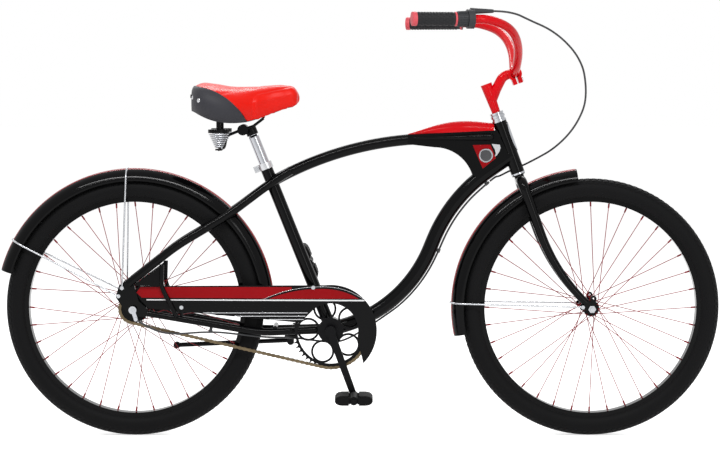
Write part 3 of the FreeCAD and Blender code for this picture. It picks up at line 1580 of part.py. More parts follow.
def make_tank_cover():
    slope = (TANK_FRONT[1] - TANK_REAR[1]) / (TANK_FRONT[0] - TANK_REAR[0])
    wires = []
    for ahead, wide, high in COVER_STATIONS:
        low = TANK_REAR[1] + slope * (ahead - TANK_REAR[0]) + COVER_GAP
        half = wide * (size.tank_half_width + COVER_OVERHANG)
        left = tank_point(ahead, low, half)
        right = tank_point(ahead, low, -half)
        top = tank_point(ahead, low + high * size.tank_cover_height)
        arch = Part.Arc(left, top, right).toShape()
        wires.append(Part.Wire([arch, Part.LineSegment(right, left).toShape()]))
    cover = Part.makeLoft(wires, True, False)
    headset = pin(steer(HEAD_FOOT), steer(HEAD_TOP + size.stem_rise), size.upper_cup_radius + COVER_CLEARANCE)
    cover = cover.cut(headset).cut(rod(top_tube_path(), size.top_tube_radius))
    feature("tank_cover", largest(cover))


COVER_GAP = 0.05
COVER_OVERHANG = 4.0
COVER_CLEARANCE = 1.5
PANEL_CORNERS = ((-83.0, -24.0), (-37.0, -23.0), (-23.0, -58.0), (-57.0, -85.0))
PANEL_WALL = 0.8
MEDAL_PLACE = (-48.5, -51.0)
MEDAL_RADIUS = 18.0
MEDAL_WALL = 1.6
STRIP_WALL = 1.5
STRIP_HALF = 8.0
STRIP_ENDS = (0.36, 0.96)


def make_badges():
    half = size.tank_half_width
    corners = [tank_point(*place, half) for place in PANEL_CORNERS]
    panel = Part.Face(Part.makePolygon(corners + corners[:1])).extrude(ACROSS * PANEL_WALL)
    panel = largest(panel.cut(head_envelope()).cut(rod(down_tube_path(), size.down_tube_radius)))
    start = tank_point(*MEDAL_PLACE, half + PANEL_WALL)
    medal = pin(start, start + ACROSS * MEDAL_WALL, MEDAL_RADIUS).cut(head_envelope())
    low, high = (HEAD_FOOT + size.head_tube_length * share for share in STRIP_ENDS)
    strip = pin(steer(low), steer(high), size.head_tube_radius + STRIP_WALL).cut(head_envelope())
    window = Part.makeBox(BIG, 2 * STRIP_HALF, BIG, Vector(0, -STRIP_HALF, -BIG / 2))
    window.Placement = Placement(steer(low), Rotation(ACROSS, -size.head_tilt)).multiply(window.Placement)
    strip = strip.common(window)
    feature("badges", Part.makeCompound([panel, mirrored(panel), medal, mirrored(medal), strip]))


COLLAR_HEIGHT = 17.0
COLLAR_WALL = 3.0
COLLAR_EAR = 15.0
COLLAR_EAR_WIDTH = 14.0
COLLAR_SLOT = 3.0


def make_collar():
    top = size.seat_tube_length
    low = seat(top - COLLAR_HEIGHT)
    band = pin(low, seat(top), size.seat_tube_radius + COLLAR_WALL)
    reach = size.seat_tube_radius + COLLAR_EAR
    ears = Part.makeBox(reach, COLLAR_EAR_WIDTH, COLLAR_HEIGHT, Vector(0, -COLLAR_EAR_WIDTH / 2, 0))
    rearward = Rotation(ACROSS, 180 - size.seat_tilt)
    ears.Placement = Placement(low, rearward.multiply(Rotation(Vector(1, 0, 0), 180)))
    slot = Part.makeBox(BIG, COLLAR_SLOT, BIG, Vector(0, -COLLAR_SLOT / 2, -BIG / 2))
    slot.Placement = Placement(low, rearward)
    collar = band.fuse(ears).cut(slot).cut(pin(low, seat(top), size.seat_tube_radius + FIT))
    feature("seat_collar", largest(collar.removeSplitter()))


# Saddle on its post

def saddle_point(ahead, side, height):
    """Point measured from the top of the seat post, level."""
    return seat(POST_TOP) + Vector(ahead, side, height)


# Saddle sections: place ahead of the post's top, share of the half width, foot and crown heights
SADDLE_SECTIONS = (
    (-145.0, 0.58, 40.0, 0.98),
    (-126.0, 0.86, 32.0, 1.10),
    (-90.0, 1.0, 17.0, 1.08),
    (-42.0, 0.9, 10.0, 0.99),
    (5.0, 0.62, 14.0, 1.0),
    (50.0, 0.42, 31.0, 1.04),
    (95.0, 0.31, 47.0, 1.05),
    (121.0, 0.22, 56.0, 0.96),
    (128.0, 0.13, 62.0, 0.86),
)
DRAWN_IN = 0.86
WAIST = 0.45
SHOULDER_WIDE = 0.78
SHOULDER_HIGH = 0.86
SKIRT_EDGE = ((-168.0, 103.0), (-54.0, 74.0), (2.0, 0.0))
CAVITY = ((-125.0, 20.0), 45.0, 46.0)


def saddle_form():
    """Whole padded saddle: flat foot, sides drawn in below, and a crowned top."""
    wires = []
    for ahead, wide, foot, crown in SADDLE_SECTIONS:
        half = wide * size.saddle_half_width
        top = crown * size.saddle_height
        rise = top - foot
        outline = [
            (-DRAWN_IN * half, foot),
            (-half, foot + WAIST * rise),
            (-SHOULDER_WIDE * half, foot + SHOULDER_HIGH * rise),
            (0.0, top),
            (SHOULDER_WIDE * half, foot + SHOULDER_HIGH * rise),
            (half, foot + WAIST * rise),
            (DRAWN_IN * half, foot),
        ]
        points = [saddle_point(ahead, side, height) for side, height in outline]
        edges = [Part.Arc(*points[start:start + 3]).toShape() for start in (0, 2, 4)]
        wires.append(Part.Wire(edges + [Part.LineSegment(points[6], points[0]).toShape()]))
    return Part.makeLoft(wires, True, False)


def make_saddle():
    form = saddle_form()
    (back, front), half, high = CAVITY
    cavity = Part.makeBox(front - back, 2 * half, 2 * high, saddle_point(back, -half, -high))
    form = form.cut(cavity).cut(nose_pivot(PIVOT_FIT))
    rear, bend, foot = (saddle_point(ahead, -BIG / 2, height) for ahead, height in SKIRT_EDGE)
    below = [foot, foot - UP * size.saddle_height, rear - UP * 2 * size.saddle_height, rear]
    edges = [Part.Arc(rear, bend, foot).toShape()]
    edges += [Part.LineSegment(start, end).toShape() for start, end in zip(below, below[1:])]
    region = Part.Face(Part.Wire(edges)).extrude(ACROSS * BIG)
    feature("saddle_cushion", largest(form.cut(region)))
    feature("saddle_base", largest(form.common(region)))


RAIL_ROUTE = ((36.0, 9.0, 20.0), (10.0, 17.0, 0.0), (-22.0, 22.0, -10.0), (-62.0, 30.0, -26.0))
RAIL_HEEL = (-66.0, 34.0)
RAIL_BEND = 18.0
PIVOT_PLACE = (36.0, 24.0)
PIVOT_HALF = 13.0
PIVOT_RADIUS = 4.0
PIVOT_FIT = 0.4


def nose_pivot(growth=0.0):
    """Cross pin under the saddle's nose on which the saddle rocks over its springs."""
    ahead, height = PIVOT_PLACE
    half = PIVOT_HALF + growth
    return pin(saddle_point(ahead, -half, height), saddle_point(ahead, half, height), PIVOT_RADIUS + growth)
RAIL_EYE = 9.0
RAIL_EYE_WALL = 4.0
SPRING_GAP = 0.3


def rail_path():
    """Centre line of the left wire rail, from under the nose to the spring's foot."""
    points = [saddle_point(*place) for place in RAIL_ROUTE]
    points.append(saddle_point(*RAIL_HEEL, rail_eye_height()))
    points.append(saddle_point(-size.spring_back, size.spring_half, rail_eye_height()))
    return bent_path(points, [RAIL_BEND] * (len(points) - 2))


def rail_eye_height():
    return -size.spring_foot_drop - size.spring_wire_radius - RAIL_EYE_WALL / 2 - SPRING_GAP


def make_rails():
    rail = rod(rail_path(), size.rail_radius)
    eye = saddle_point(-size.spring_back, size.spring_half, rail_eye_height() - RAIL_EYE_WALL / 2)
    disc = pin(eye, eye + UP * RAIL_EYE_WALL, RAIL_EYE)
    roof = pin(eye + UP * RAIL_EYE_WALL, eye + UP * size.spring_height, RAIL_EYE * 2)
    rail = largest(rail.cut(roof).fuse(disc).removeSplitter())
    rails = rail.fuse(nose_pivot()).fuse(mirrored(rail)).removeSplitter()
    feature("saddle_rails", largest(rails))
    post_top = seat(POST_TOP)
    ring_low = seat(POST_TOP - CLAMP_HEIGHT)
    clamp = pin(ring_low, post_top, size.post_top_radius + CLAMP_WALL)
    barrel = saddle_point(CLAMP_BACK, 0, -CLAMP_DROP)
    reach = ACROSS * CLAMP_HALF
    clamp = clamp.fuse(pin(barrel - reach, barrel + reach, CLAMP_RADIUS))
    rails = rod(rail_path(), size.rail_radius + FIT)
    clamp = clamp.cut(rails).cut(mirrored(rails)).cut(pin(seat(0), post_top, size.post_top_radius + FIT))
    feature("saddle_clamp", largest(clamp.removeSplitter()))


CLAMP_HEIGHT = 24.0
CLAMP_WALL = 4.0
CLAMP_BACK = -16.0
CLAMP_DROP = 9.0
CLAMP_HALF = 30.0
CLAMP_RADIUS = 14.0


def make_seat_post():
    low = "size.seat_tube_length - size.post_depth"
    shoulder = "size.seat_tube_length + size.post_exposed"
    turned(
        "seat_post",
        [
            ("0", low),
            ("size.seat_post_radius", low),
            ("size.seat_post_radius", shoulder),
            ("size.post_top_radius", f"{shoulder} + size.post_taper"),
            ("size.post_top_radius", f"{shoulder} + size.post_head"),
            ("0", f"{shoulder} + size.post_head"),
        ],
        along_axis(BRACKET, SEAT_UP),
    )


def arc_from(start, heading, end):
    """Arc that leaves a point in a given direction and ends at another."""
    chord = end - start
    unit = Vector(chord).normalize()
    bulge = heading - unit * heading.dot(unit)
    if bulge.Length < 1e-9:
        return Part.LineSegment(start, end)
    sagitta = chord.Length / 2 * math.tan(heading.getAngle(chord) / 2)
    return Part.Arc(start, start + chord * 0.5 + bulge.normalize() * sagitta, end)


def biarc(start, heading, end, leaving):
    """Two arcs that join two points with the given directions at both."""
    chord = end - start
    both = heading + leaving
    spread = 2 * (1 - heading.dot(leaving))
    reach = (-chord.dot(both) + math.sqrt(chord.dot(both) ** 2 + spread * chord.dot(chord))) / spread
    joint = (start + end + (heading - leaving) * reach) * 0.5
    back = arc_from(end, leaving * -1, joint)
    first = arc_from(start, heading, joint).toShape()
    return [first, Part.Arc(joint, back.value(middle_of(back)), end).toShape()]


def middle_of(curve):
    """Parameter half way along a trimmed curve."""
    return (curve.FirstParameter + curve.LastParameter) / 2


def spring_point(turns):
    """Point and direction on the left conical spring, counted in turns from its foot."""
    share = turns / size.spring_turns
    widen = (size.spring_top_radius - size.spring_foot_radius) / size.spring_turns
    radius = size.spring_foot_radius + widen * turns
    rise = size.spring_height / size.spring_turns
    angle = 360 * turns
    height = share * size.spring_height - size.spring_foot_drop
    centre = saddle_point(-size.spring_back, size.spring_half, height)
    point = centre + Vector(radius * cosine(angle), radius * sine(angle), 0)
    pace = 2 * math.pi * radius
    heading = Vector(
        widen * cosine(angle) - pace * sine(angle), widen * sine(angle) + pace * cosine(angle), rise
    )
    return point, heading.normalize()


QUARTERS = 4


def make_springs():
    edges = []
    count = int(size.spring_turns * QUARTERS)
    for quarter in range(count):
        start, heading = spring_point(quarter / QUARTERS)
        end, leaving = spring_point((quarter + 1) / QUARTERS)
        edges += biarc(start, heading, end, leaving)
    spring = rod(Part.Wire(edges), size.spring_wire_radius)
    feature("saddle_springs", both_sides(spring))


RIVETS = ((-144.0, 18.0), (-134.0, 62.0))
RIVET_HEIGHT = 78.0
RIVET_RADIUS = 5.0
SPRING_POST = 6.0
SPRING_POST_LENGTH = 60.0
SPRING_PLATE_RIM = 2.0
RIVET_HEAD = 2.5
RIVET_SHANK = 3.0
RIVET_SEARCH = 30.0
SPRING_PLATE = 9.0


def make_saddle_fasteners():
    """Spring plates with their posts up to the pan, and the skirt's rivets."""
    base = node_shape("saddle_base")
    low = -size.spring_foot_drop + size.spring_height + size.spring_wire_radius + SPRING_GAP
    plate = saddle_point(-size.spring_back, size.spring_half, low)
    post = pin(plate, plate + UP * SPRING_PLATE, size.spring_top_radius + SPRING_PLATE_RIM)
    post = post.fuse(pin(plate, plate + UP * SPRING_POST_LENGTH, SPRING_POST)).cut(base)
    solids = [max(post.Solids, key=lambda solid: -solid.CenterOfMass.z)]
    for ahead, side in RIVETS:
        start = saddle_point(ahead - RIVET_SEARCH, side, RIVET_HEIGHT)
        end = saddle_point(ahead + RIVET_SEARCH, side, RIVET_HEIGHT)
        hit = base.common(Part.LineSegment(start, end).toShape())
        surface = min((vertex.Point for vertex in hit.Vertexes), key=lambda point: point.x)
        shank = Vector(RIVET_SHANK, 0, 0)
        rivet = pin(surface - Vector(RIVET_HEAD, 0, 0), surface + shank, RIVET_RADIUS).cut(base)
        solids.append(min(rivet.Solids, key=lambda solid: solid.CenterOfMass.x))
    feature("saddle_fasteners", Part.makeCompound(solids + [mirrored(solid) for solid in solids]))


# Shift cable from the twist grip to the rear hub

CABLE_STEP = 42.0
CABLE_LEAD = 46.0
CABLE_END_GAP = 0.2
JOIN_LEAD = 22.0
JOIN_GAP = 2.2

# Free loop ahead of the head tube, measured from where the top tube meets the steering axis
LOOP_ROUTE = (
    (50.0, -270.0, 289.0),
    (89.0, -255.0, 273.0),
    (122.5, -240.0, 251.0),
    (153.0, -220.0, 223.0),
    (174.5, -200.0, 194.0),
    (188.8, -180.0, 162.0),
    (196.5, -150.0, 107.0),
    (190.9, -125.0, 64.7),
    (165.3, -85.0, 11.8),
    (123.0, -45.0, -33.6),
    (76.5, 5.0, -63.4),
    (48.0, 24.0, -79.0),
    (16.0, 27.0, -92.0),
    (-14.0, 15.0, -107.0),
)

# Lower end of the cable, measured from the bottom bracket
STAY_CLIP_PLACE = (-310.0, -49.0, -2.0)
BRACKET_ROUTE = (
    (43.0, 0.0, -31.0),
    (-2.0, 0.0, -36.0),
    (-47.0, -8.0, -30.0),
    (-97.0, -30.0, -20.0),
    (-167.0, -39.0, -19.0),
    (-237.0, -45.0, -10.0),
    STAY_CLIP_PLACE,
    (-411.0, -62.0, -9.0),
    (-462.0, -74.0, 6.0),
)
TUBE_CLIP_SHARES = (0.13, 0.47)
TUBE_SHARES = (0.13, 0.2, 0.27, 0.34, 0.41, 0.48, 0.55, 0.62, 0.69, 0.76)
CABLE_STAND_OFF = 2.0


def nose_end():
    """Centre of the shifter nose's end and the direction in which the cable leaves it."""
    end, inward = bar_end(-1)
    along = size.grip_length + 2 * size.side_clearance + size.twist_length + size.shifter_length / 2
    return end + inward * (along + NOSE_LENGTH) + UP * NOSE_LIFT, inward


def under_down_tube(share):
    """Point on the cable's line under the down tube, and the foot of its square on the tube's axis."""
    path = down_tube_path()
    points = path.discretize(Number=TUBE_SAMPLES)
    index = int(share * (TUBE_SAMPLES - 1))
    heading = (points[index + 1] - points[index]).normalize()
    outward = heading.cross(ACROSS)
    reach = size.down_tube_radius + size.cable_radius + CABLE_STAND_OFF
    return points[index] + outward * reach, points[index]


TUBE_SAMPLES = 401


def cable_path(points):
    """Cable centre line through the points, in even short runs with tangent arcs."""
    guide = Part.BSplineCurve()
    guide.interpolate(points)
    count = int(guide.length() / CABLE_STEP) + 2
    stations = guide.discretize(Number=count)
    radii = widest_bends(stations)
    print("cable bends, smallest radius", round(min(radii)), "mm")
    return bent_path(stations, radii)


def loop_path():
    start, inward = nose_end()
    start = start + inward * CABLE_END_GAP
    points = [start, start + inward * CABLE_LEAD]
    points += [tank_point(ahead, height, side) for ahead, side, height in LOOP_ROUTE]
    join = under_down_tube(TUBE_SHARES[0])[0]
    heading = (under_down_tube(TUBE_SHARES[0] + TANGENT_SHARE)[0] - join).normalize()
    points += [join - heading * JOIN_LEAD, join - heading * JOIN_GAP]
    return cable_path(points)


def run_path():
    points = [under_down_tube(share)[0] for share in TUBE_SHARES]
    points += [BRACKET + Vector(*place) for place in BRACKET_ROUTE]
    return cable_path(points + [bell_pin()])


def bell_pin():
    """Where the cable's end sits in the bell crank's tail."""
    return bell_face() + Vector(*BELL_TAIL) - ACROSS * BELL_PIN_DEPTH


CLIP_WALL = 1.6
CLIP_HALF = 5.0


def cable_clip(place, heading, foot, tube):
    """Small clip: a ring round the cable with a foot down to the tube."""
    reach = heading * CLIP_HALF
    clip = pin(place - reach, place + reach, size.cable_radius + CLIP_WALL)
    post = rod(straight(place, foot), CLIP_HALF - 1)
    return clip.fuse(post).cut(tube)


def make_cable():
    loop = loop_path()
    run = run_path()
    run_tube = rod(run, size.cable_radius)
    feature("shift_cable_loop", rod(loop, size.cable_radius))
    feature("shift_cable_run", run_tube)
    bore = rod(run, size.cable_radius + CLIP_FIT).fuse(rod(loop, size.cable_radius + CLIP_FIT))
    tube = rod(down_tube_path(), size.down_tube_radius)
    clips = []
    for share in TUBE_CLIP_SHARES:
        place, foot = under_down_tube(share + CLIP_SHIFT)
        ahead = under_down_tube(share + CLIP_SHIFT + TANGENT_SHARE)[0]
        clips.append(cable_clip(place, (ahead - place).normalize(), foot, tube))
    stay_path = mirrored(chain_stay_path())
    clip_place = Part.Vertex(BRACKET + Vector(*STAY_CLIP_PLACE))
    foot, place = stay_path.distToShape(clip_place)[1][0]
    stay = mirrored(rod(chain_stay_path(), size.chain_stay_radius, size.chain_stay_tip_radius))
    clips.append(cable_clip(place, (BRACKET - REAR_AXLE).normalize(), foot, stay))
    feature("cable_clips", Part.makeCompound([largest(clip.cut(bore).removeSplitter()) for clip in clips]))


CLIP_FIT = 0.2
CLIP_SHIFT = 0.014
TANGENT_SHARE = 0.01


# Nuts and bolts

BOLT_HEAD_RADIUS = 5.0
BOLT_HEAD_HEIGHT = 3.5


def stay_bolts(axle, eyelet, face):
    """Pair of bolt heads that hold a fender stay's ends."""
    heads = []
    for side in (-1, 1):
        centre = axle + Vector(*eyelet) + ACROSS * side * face
        heads.append(pin(centre, centre + ACROSS * side * BOLT_HEAD_HEIGHT, BOLT_HEAD_RADIUS))
    return heads


def make_frame_fasteners():
    dropout_face = size.rear_hub_width / 2 + size.dropout_wall
    solids = axle_nuts(REAR_AXLE, dropout_face)
    wire_face = stay_side(size.rear_hub_width, size.dropout_wall) + size.fender_stay_diameter / 2
    for eyelet in REAR_EYELETS:
        solids += stay_bolts(REAR_AXLE, eyelet, wire_face)
    ear = seat(size.seat_tube_length - COLLAR_HEIGHT / 2, -size.seat_tube_radius - COLLAR_BOLT)
    for side in (-1, 1):
        face = ear + ACROSS * side * COLLAR_EAR_HALF
        solids.append(pin(face, face + ACROSS * side * BOLT_HEAD_HEIGHT, BOLT_HEAD_RADIUS))
    outside = ACROSS * -(size.guard_place + size.guard_wall / 2)
    for mount in guard_mounts()[:2]:
        head = mount + outside
        solids.append(pin(head, head - ACROSS * GUARD_BOLT_HEIGHT, BOLT_HEAD_RADIUS))
    feature("frame_fasteners", Part.makeCompound(solids))


COLLAR_BOLT = 8.5
COLLAR_EAR_HALF = 7.0
GUARD_BOLT_HEIGHT = 2.0


def make_steering_fasteners():
    solids = axle_nuts(FRONT_AXLE, size.front_hub_width / 2 + size.tip_wall)
    wire_face = stay_side(size.front_hub_width, size.tip_wall) + size.fender_stay_diameter / 2
    solids += stay_bolts(FRONT_AXLE, FRONT_EYELET, wire_face)
    ear = bar_centre() - STEER_UP * CLAMP_BOLT_DROP + STEER_AHEAD * EAR_WIDTH / 2
    solids.append(pin(ear, ear + STEER_AHEAD * BOLT_HEAD_HEIGHT, BOLT_HEAD_RADIUS))
    crown = steer(CROWN)
    inward = (FRONT_AXLE - crown).normalize()
    bolt = pin(crown, crown + inward * FENDER_BOLT_REACH, BOLT_HEAD_RADIUS)
    bolt = bolt.cut(node_shape("fork_blades")).cut(node_shape("fork_steerer")).cut(node_shape("front_fender"))
    solids.append(min(bolt.Solids, key=lambda solid: (solid.CenterOfMass - crown).Length))
    feature("steering_fasteners", Part.makeCompound(solids))


CLAMP_BOLT_DROP = 20.0
FENDER_BOLT_REACH = 60.0


def write_parts():
    """Checks every object of the document, then writes one file for each node."""
    doc.recompute()
    for item in doc.Objects:
        if "Invalid" in item.State or "Error" in item.State:
            raise RuntimeError(f"{item.Label} failed: {item.State}")
    for item in nodes:
        if item.Shape.isNull() or not item.Shape.isValid():
            raise RuntimeError(f"{item.Label} has no valid shape")
    os.makedirs("parts", exist_ok=True)
    for item in nodes:
        item.Shape.exportStep(f"parts/{item.Label}.step")
    print(len(nodes), "nodes written")


make_wheels()
make_fenders()
make_frame_tubes()
make_stays()
make_dropouts()
make_fork()
make_fender_stays()
make_headset()
make_stem()
make_handlebar()
make_grips()
make_drive()
make_guard()
make_guard_brackets()
make_kickstand()
make_bell_crank()
make_brake_arm()
make_tank()
make_tank_cover()
make_badges()
make_collar()
make_saddle()
make_rails()
make_seat_post()
make_springs()
make_saddle_fasteners()
make_cable()
make_frame_fasteners()
make_steering_fasteners()
write_parts()
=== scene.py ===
"""Dressed model of a beach cruiser bicycle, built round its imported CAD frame."""
import logging
import math
from collections.abc import Sequence
from dataclasses import dataclass, field
from enum import Enum
from typing import TypeVar

import bmesh
import bpy
import numpy as np
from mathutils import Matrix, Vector
from mathutils.bvhtree import BVHTree


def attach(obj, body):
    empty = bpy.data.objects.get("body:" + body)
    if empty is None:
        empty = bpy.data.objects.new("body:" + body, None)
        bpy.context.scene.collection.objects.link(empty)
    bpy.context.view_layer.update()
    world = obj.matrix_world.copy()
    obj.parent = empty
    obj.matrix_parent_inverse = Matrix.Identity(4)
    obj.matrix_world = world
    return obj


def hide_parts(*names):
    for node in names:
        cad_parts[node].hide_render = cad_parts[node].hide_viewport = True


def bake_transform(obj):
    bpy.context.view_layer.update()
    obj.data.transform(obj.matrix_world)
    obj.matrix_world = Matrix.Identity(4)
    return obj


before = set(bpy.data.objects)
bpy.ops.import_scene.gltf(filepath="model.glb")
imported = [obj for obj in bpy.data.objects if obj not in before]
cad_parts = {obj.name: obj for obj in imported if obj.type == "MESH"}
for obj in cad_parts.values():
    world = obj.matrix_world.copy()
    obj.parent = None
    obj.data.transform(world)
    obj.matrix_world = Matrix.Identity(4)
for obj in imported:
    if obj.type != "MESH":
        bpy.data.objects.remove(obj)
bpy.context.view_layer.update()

MM = 0.001
SIDES = {-1: "right", 1: "left"}
# Colour sockets of a mix node, whose names its other kinds share
MIX_FIRST, MIX_SECOND, MIX_RESULT = 6, 7, 2
# Radius that stands for a point on the axis, in millimetres
AXIS = 0.01
log = logging.getLogger("cruiser")

Point = tuple[float, float, float]
Flat = tuple[float, float]
Face = tuple[int, ...]
Direction = TypeVar("Direction", Vector, np.ndarray)


class Body(Enum):
    """Moving body of the CAD frame that a piece rides on."""

    FRAME = "frame"
    STEERING = "steering"
    FRONT_WHEEL = "front_wheel"
    REAR_WHEEL = "rear_wheel"
    PEDAL_RIGHT = "pedal_right"
    PEDAL_LEFT = "pedal_left"
    TWIST_GRIP = "twist_grip"
    SEAT_POST = "seat_post"
    SADDLE_TOP = "saddle_top"


class Slot(Enum):
    """Material slot of the record."""

    BLACK_PAINT = "paint_black"
    RED_PAINT = "paint_red"
    BADGE = "badge_plate"
    CHROME = "headset_chrome"
    CHAIN = "chain_steel"
    TYRE = "tyre_rubber"
    PEDAL = "pedal_rubber"
    GRIP = "grip_rubber"
    SHIFTER = "shifter_plastic"
    VINYL = "saddle_vinyl"


class Grain(Enum):
    """Kind of fine relief that a finish carries."""

    PEEL = "soft noise, as in sprayed paint or moulded plastic"
    PEBBLE = "rounded cells, as in embossed vinyl or textured rubber"
    BRUSHED = "noise drawn out along the part, as in drawn wire"


def linear(code: str) -> tuple[float, float, float, float]:
    """Turn an sRGB hex colour into linear light.

    Args:
        code: Six hex digits, with or without a leading hash.

    Returns:
        Red, green, blue and alpha as a shader socket takes them.
    """
    parts = [int(code.lstrip("#")[place:place + 2], 16) / 255 for place in (0, 2, 4)]
    light = [part / 12.92 if part <= 0.04045 else ((part + 0.055) / 1.055) ** 2.4 for part in parts]
    return (*light, 1.0)


def add_node(tree: bpy.types.NodeTree, kind: str, links: dict | None = None, **settings) -> bpy.types.Node:
    """Add one node with its settings and links.

    Args:
        tree: Node tree that gets the node.
        kind: Node type, such as ShaderNodeBump.
        links: Output sockets by the name or number of the input that they feed.
        settings: Attributes of the node, or values of its inputs with spaces written as underscores.

    Returns:
        The new node.
    """
    node = tree.nodes.new(kind)
    for name, value in settings.items():
        if hasattr(node, name):
            setattr(node, name, value)
        else:
            node.inputs[name.replace("_", " ")].default_value = value
    for name, socket in (links or {}).items():
        tree.links.new(socket, node.inputs[name])
    return node


@dataclass(frozen=True)
class Finish:
    """One real material with its surface.

    Lengths are in millimetres. The second colour is what slow variation drifts towards.
    """

    name: str
    colour: str
    drift: str
    roughness: float
    metallic: float = 0.0
    ior: float = 1.5
    coat: float = 0.0
    coat_roughness: float = 0.04
    sheen: float = 0.0
    grain: Grain = Grain.PEEL
    grain_mm: float = 3.0
    grain_detail: float = 2.0
    depth_mm: float = 0.03
    relief_strength: float = 0.6
    brush_stretch: Point = (0.08, 1.0, 1.0)
    drift_mm: float = 70.0
    drift_detail: float = 3.0
    spread: float = 0.06

    def material(self) -> bpy.types.Material:
        """Make the node material once and hand back the same one after that.

        Returns:
            The material, under the finish's own name.
        """
        found = bpy.data.materials.get(self.name)
        if found:
            return found
        made = bpy.data.materials.new(self.name)
        made.use_nodes = True
        tree = made.node_tree
        shader = tree.nodes["Principled BSDF"].inputs
        shader["Metallic"].default_value = self.metallic
        shader["Coat Weight"].default_value = self.coat
        shader["Coat Roughness"].default_value = self.coat_roughness
        shader["Sheen Weight"].default_value = self.sheen
        if not self.metallic:
            shader["IOR"].default_value = self.ior
        place = add_node(tree, "ShaderNodeTexCoord").outputs["Object"]
        scale = 1 / (self.drift_mm * MM)
        detail = self.drift_detail
        noise = add_node(tree, "ShaderNodeTexNoise", {"Vector": place}, Scale=scale, Detail=detail)
        slow = noise.outputs["Fac"]
        tint = add_node(tree, "ShaderNodeMix", {"Factor": slow}, data_type="RGBA")
        tint.inputs[MIX_FIRST].default_value = linear(self.colour)
        tint.inputs[MIX_SECOND].default_value = linear(self.drift)
        band = add_node(tree, "ShaderNodeMapRange", {"Value": slow})
        band.inputs["To Min"].default_value = self.roughness - self.spread / 2
        band.inputs["To Max"].default_value = self.roughness + self.spread / 2
        bump = add_node(tree, "ShaderNodeBump", {"Height": self.relief(tree, place)})
        bump.inputs["Strength"].default_value = self.relief_strength
        bump.inputs["Distance"].default_value = self.depth_mm * MM
        tree.links.new(tint.outputs[MIX_RESULT], shader["Base Color"])
        tree.links.new(band.outputs["Result"], shader["Roughness"])
        tree.links.new(bump.outputs["Normal"], shader["Normal"])
        return made

    def relief(self, tree: bpy.types.NodeTree, place: bpy.types.NodeSocket) -> bpy.types.NodeSocket:
        """Height of the fine grain.

        Args:
            tree: Node tree of the material.
            place: Socket with the point on the object, in metres.

        Returns:
            Socket with a height from 0 to 1.
        """
        scale = 1 / (self.grain_mm * MM)
        if self.grain is Grain.PEBBLE:
            return add_node(tree, "ShaderNodeTexVoronoi", {"Vector": place}, Scale=scale).outputs["Distance"]
        if self.grain is Grain.BRUSHED:
            drawn = add_node(tree, "ShaderNodeMapping", {"Vector": place}, Scale=self.brush_stretch)
            place = drawn.outputs["Vector"]
        detail = self.grain_detail
        noise = add_node(tree, "ShaderNodeTexNoise", {"Vector": place}, Scale=scale, Detail=detail)
        return noise.outputs["Fac"]


# Black enamel sprayed on steel: deep, smooth and hardly grey, with faint orange peel
BLACK_ENAMEL = Finish(
    "black_enamel_sprayed", "#040405", "#060607", 0.09, ior=1.2, grain_mm=2.5, depth_mm=0.006,
)
# Powder coat on smaller stampings and forgings: as black, with a softer gloss
BLACK_SATIN = Finish(
    "black_powder_coat", "#060608", "#09090B", 0.28, ior=1.2, grain_mm=1.2, depth_mm=0.012,
)
# Red enamel: strong colour and a soft highlight, with faint orange peel
RED_ENAMEL = Finish(
    "red_enamel_sprayed", "#D80612", "#CC0611", 0.16, ior=1.22, grain_mm=2.5, depth_mm=0.006,
)
# Deeper red film under lacquer, on the guard, the tank's panels and the fender stripes
DEEP_RED = Finish(
    "deep_red_lacquered_film", "#980610", "#88050C", 0.2, ior=1.19, grain_mm=2.0, depth_mm=0.005,
)
# Thin red paint on drawn wire, with the wire's lines under it
RED_WIRE = Finish("red_painted_wire", "#96101F", "#860E1B", 0.35, ior=1.3, grain=Grain.BRUSHED, grain_mm=0.8)
# White film with a thin lacquer, on the guard's stripe
WHITE_FILM = Finish(
    "white_lacquered_film", "#E9E9EA", "#DEDEE0", 0.35, coat=0.4, grain_mm=2.0, depth_mm=0.006,
)
# Electroplated chromium: bright mirror with a trace of polish marks
CHROME = Finish(
    "chromium_plate_polished", "#B8BABE", "#A6A8AD", 0.1, metallic=1.0, grain_mm=1.5, depth_mm=0.004,
)
# Zinc plate on drawn wire and nuts: greyer and softer than chrome
ZINC = Finish(
    "zinc_plate_drawn", "#BFC1C4", "#AEB0B4", 0.28, metallic=1.0, grain=Grain.BRUSHED, grain_mm=0.6,
    depth_mm=0.01,
)
# Polished aluminium: pale metal with fine lines
ALLOY = Finish(
    "aluminium_polished", "#CBCCCE", "#BDBEC1", 0.24, metallic=1.0, grain=Grain.BRUSHED, grain_mm=0.5,
    depth_mm=0.006,
)
# Oiled chain steel with a bronzed tone that changes from link to link
CHAIN_STEEL = Finish(
    "bronzed_chain_steel", "#7A6C55", "#554A39", 0.36, metallic=1.0, grain_mm=0.7, depth_mm=0.02,
    drift_mm=14.0,
)
# Vulcanised rubber of tyres and pedal blocks: dull, slightly dusty black
TYRE_RUBBER = Finish(
    "tyre_rubber_vulcanised", "#080809", "#0D0D0E", 0.58, ior=1.18, grain_mm=0.9, depth_mm=0.08, sheen=0.04,
)
# Moulded grip rubber: dark grey and finely pebbled
GRIP_RUBBER = Finish(
    "grip_rubber_moulded", "#151618", "#1E1F21", 0.6, ior=1.35, grain=Grain.PEBBLE, grain_mm=1.2,
    depth_mm=0.12, sheen=0.05,
)
# Pale red rubber of the grip's rings: soft gloss, hardly any grain
RING_RUBBER = Finish("red_rubber_moulded", "#D8505A", "#C9434E", 0.5, grain_mm=1.0, depth_mm=0.03)
# Satin ABS of the shifter: dark grey with a fine moulded grain
SHIFTER_ABS = Finish("abs_moulded_satin", "#26282B", "#303235", 0.46, ior=1.38, grain_mm=0.9, depth_mm=0.05)
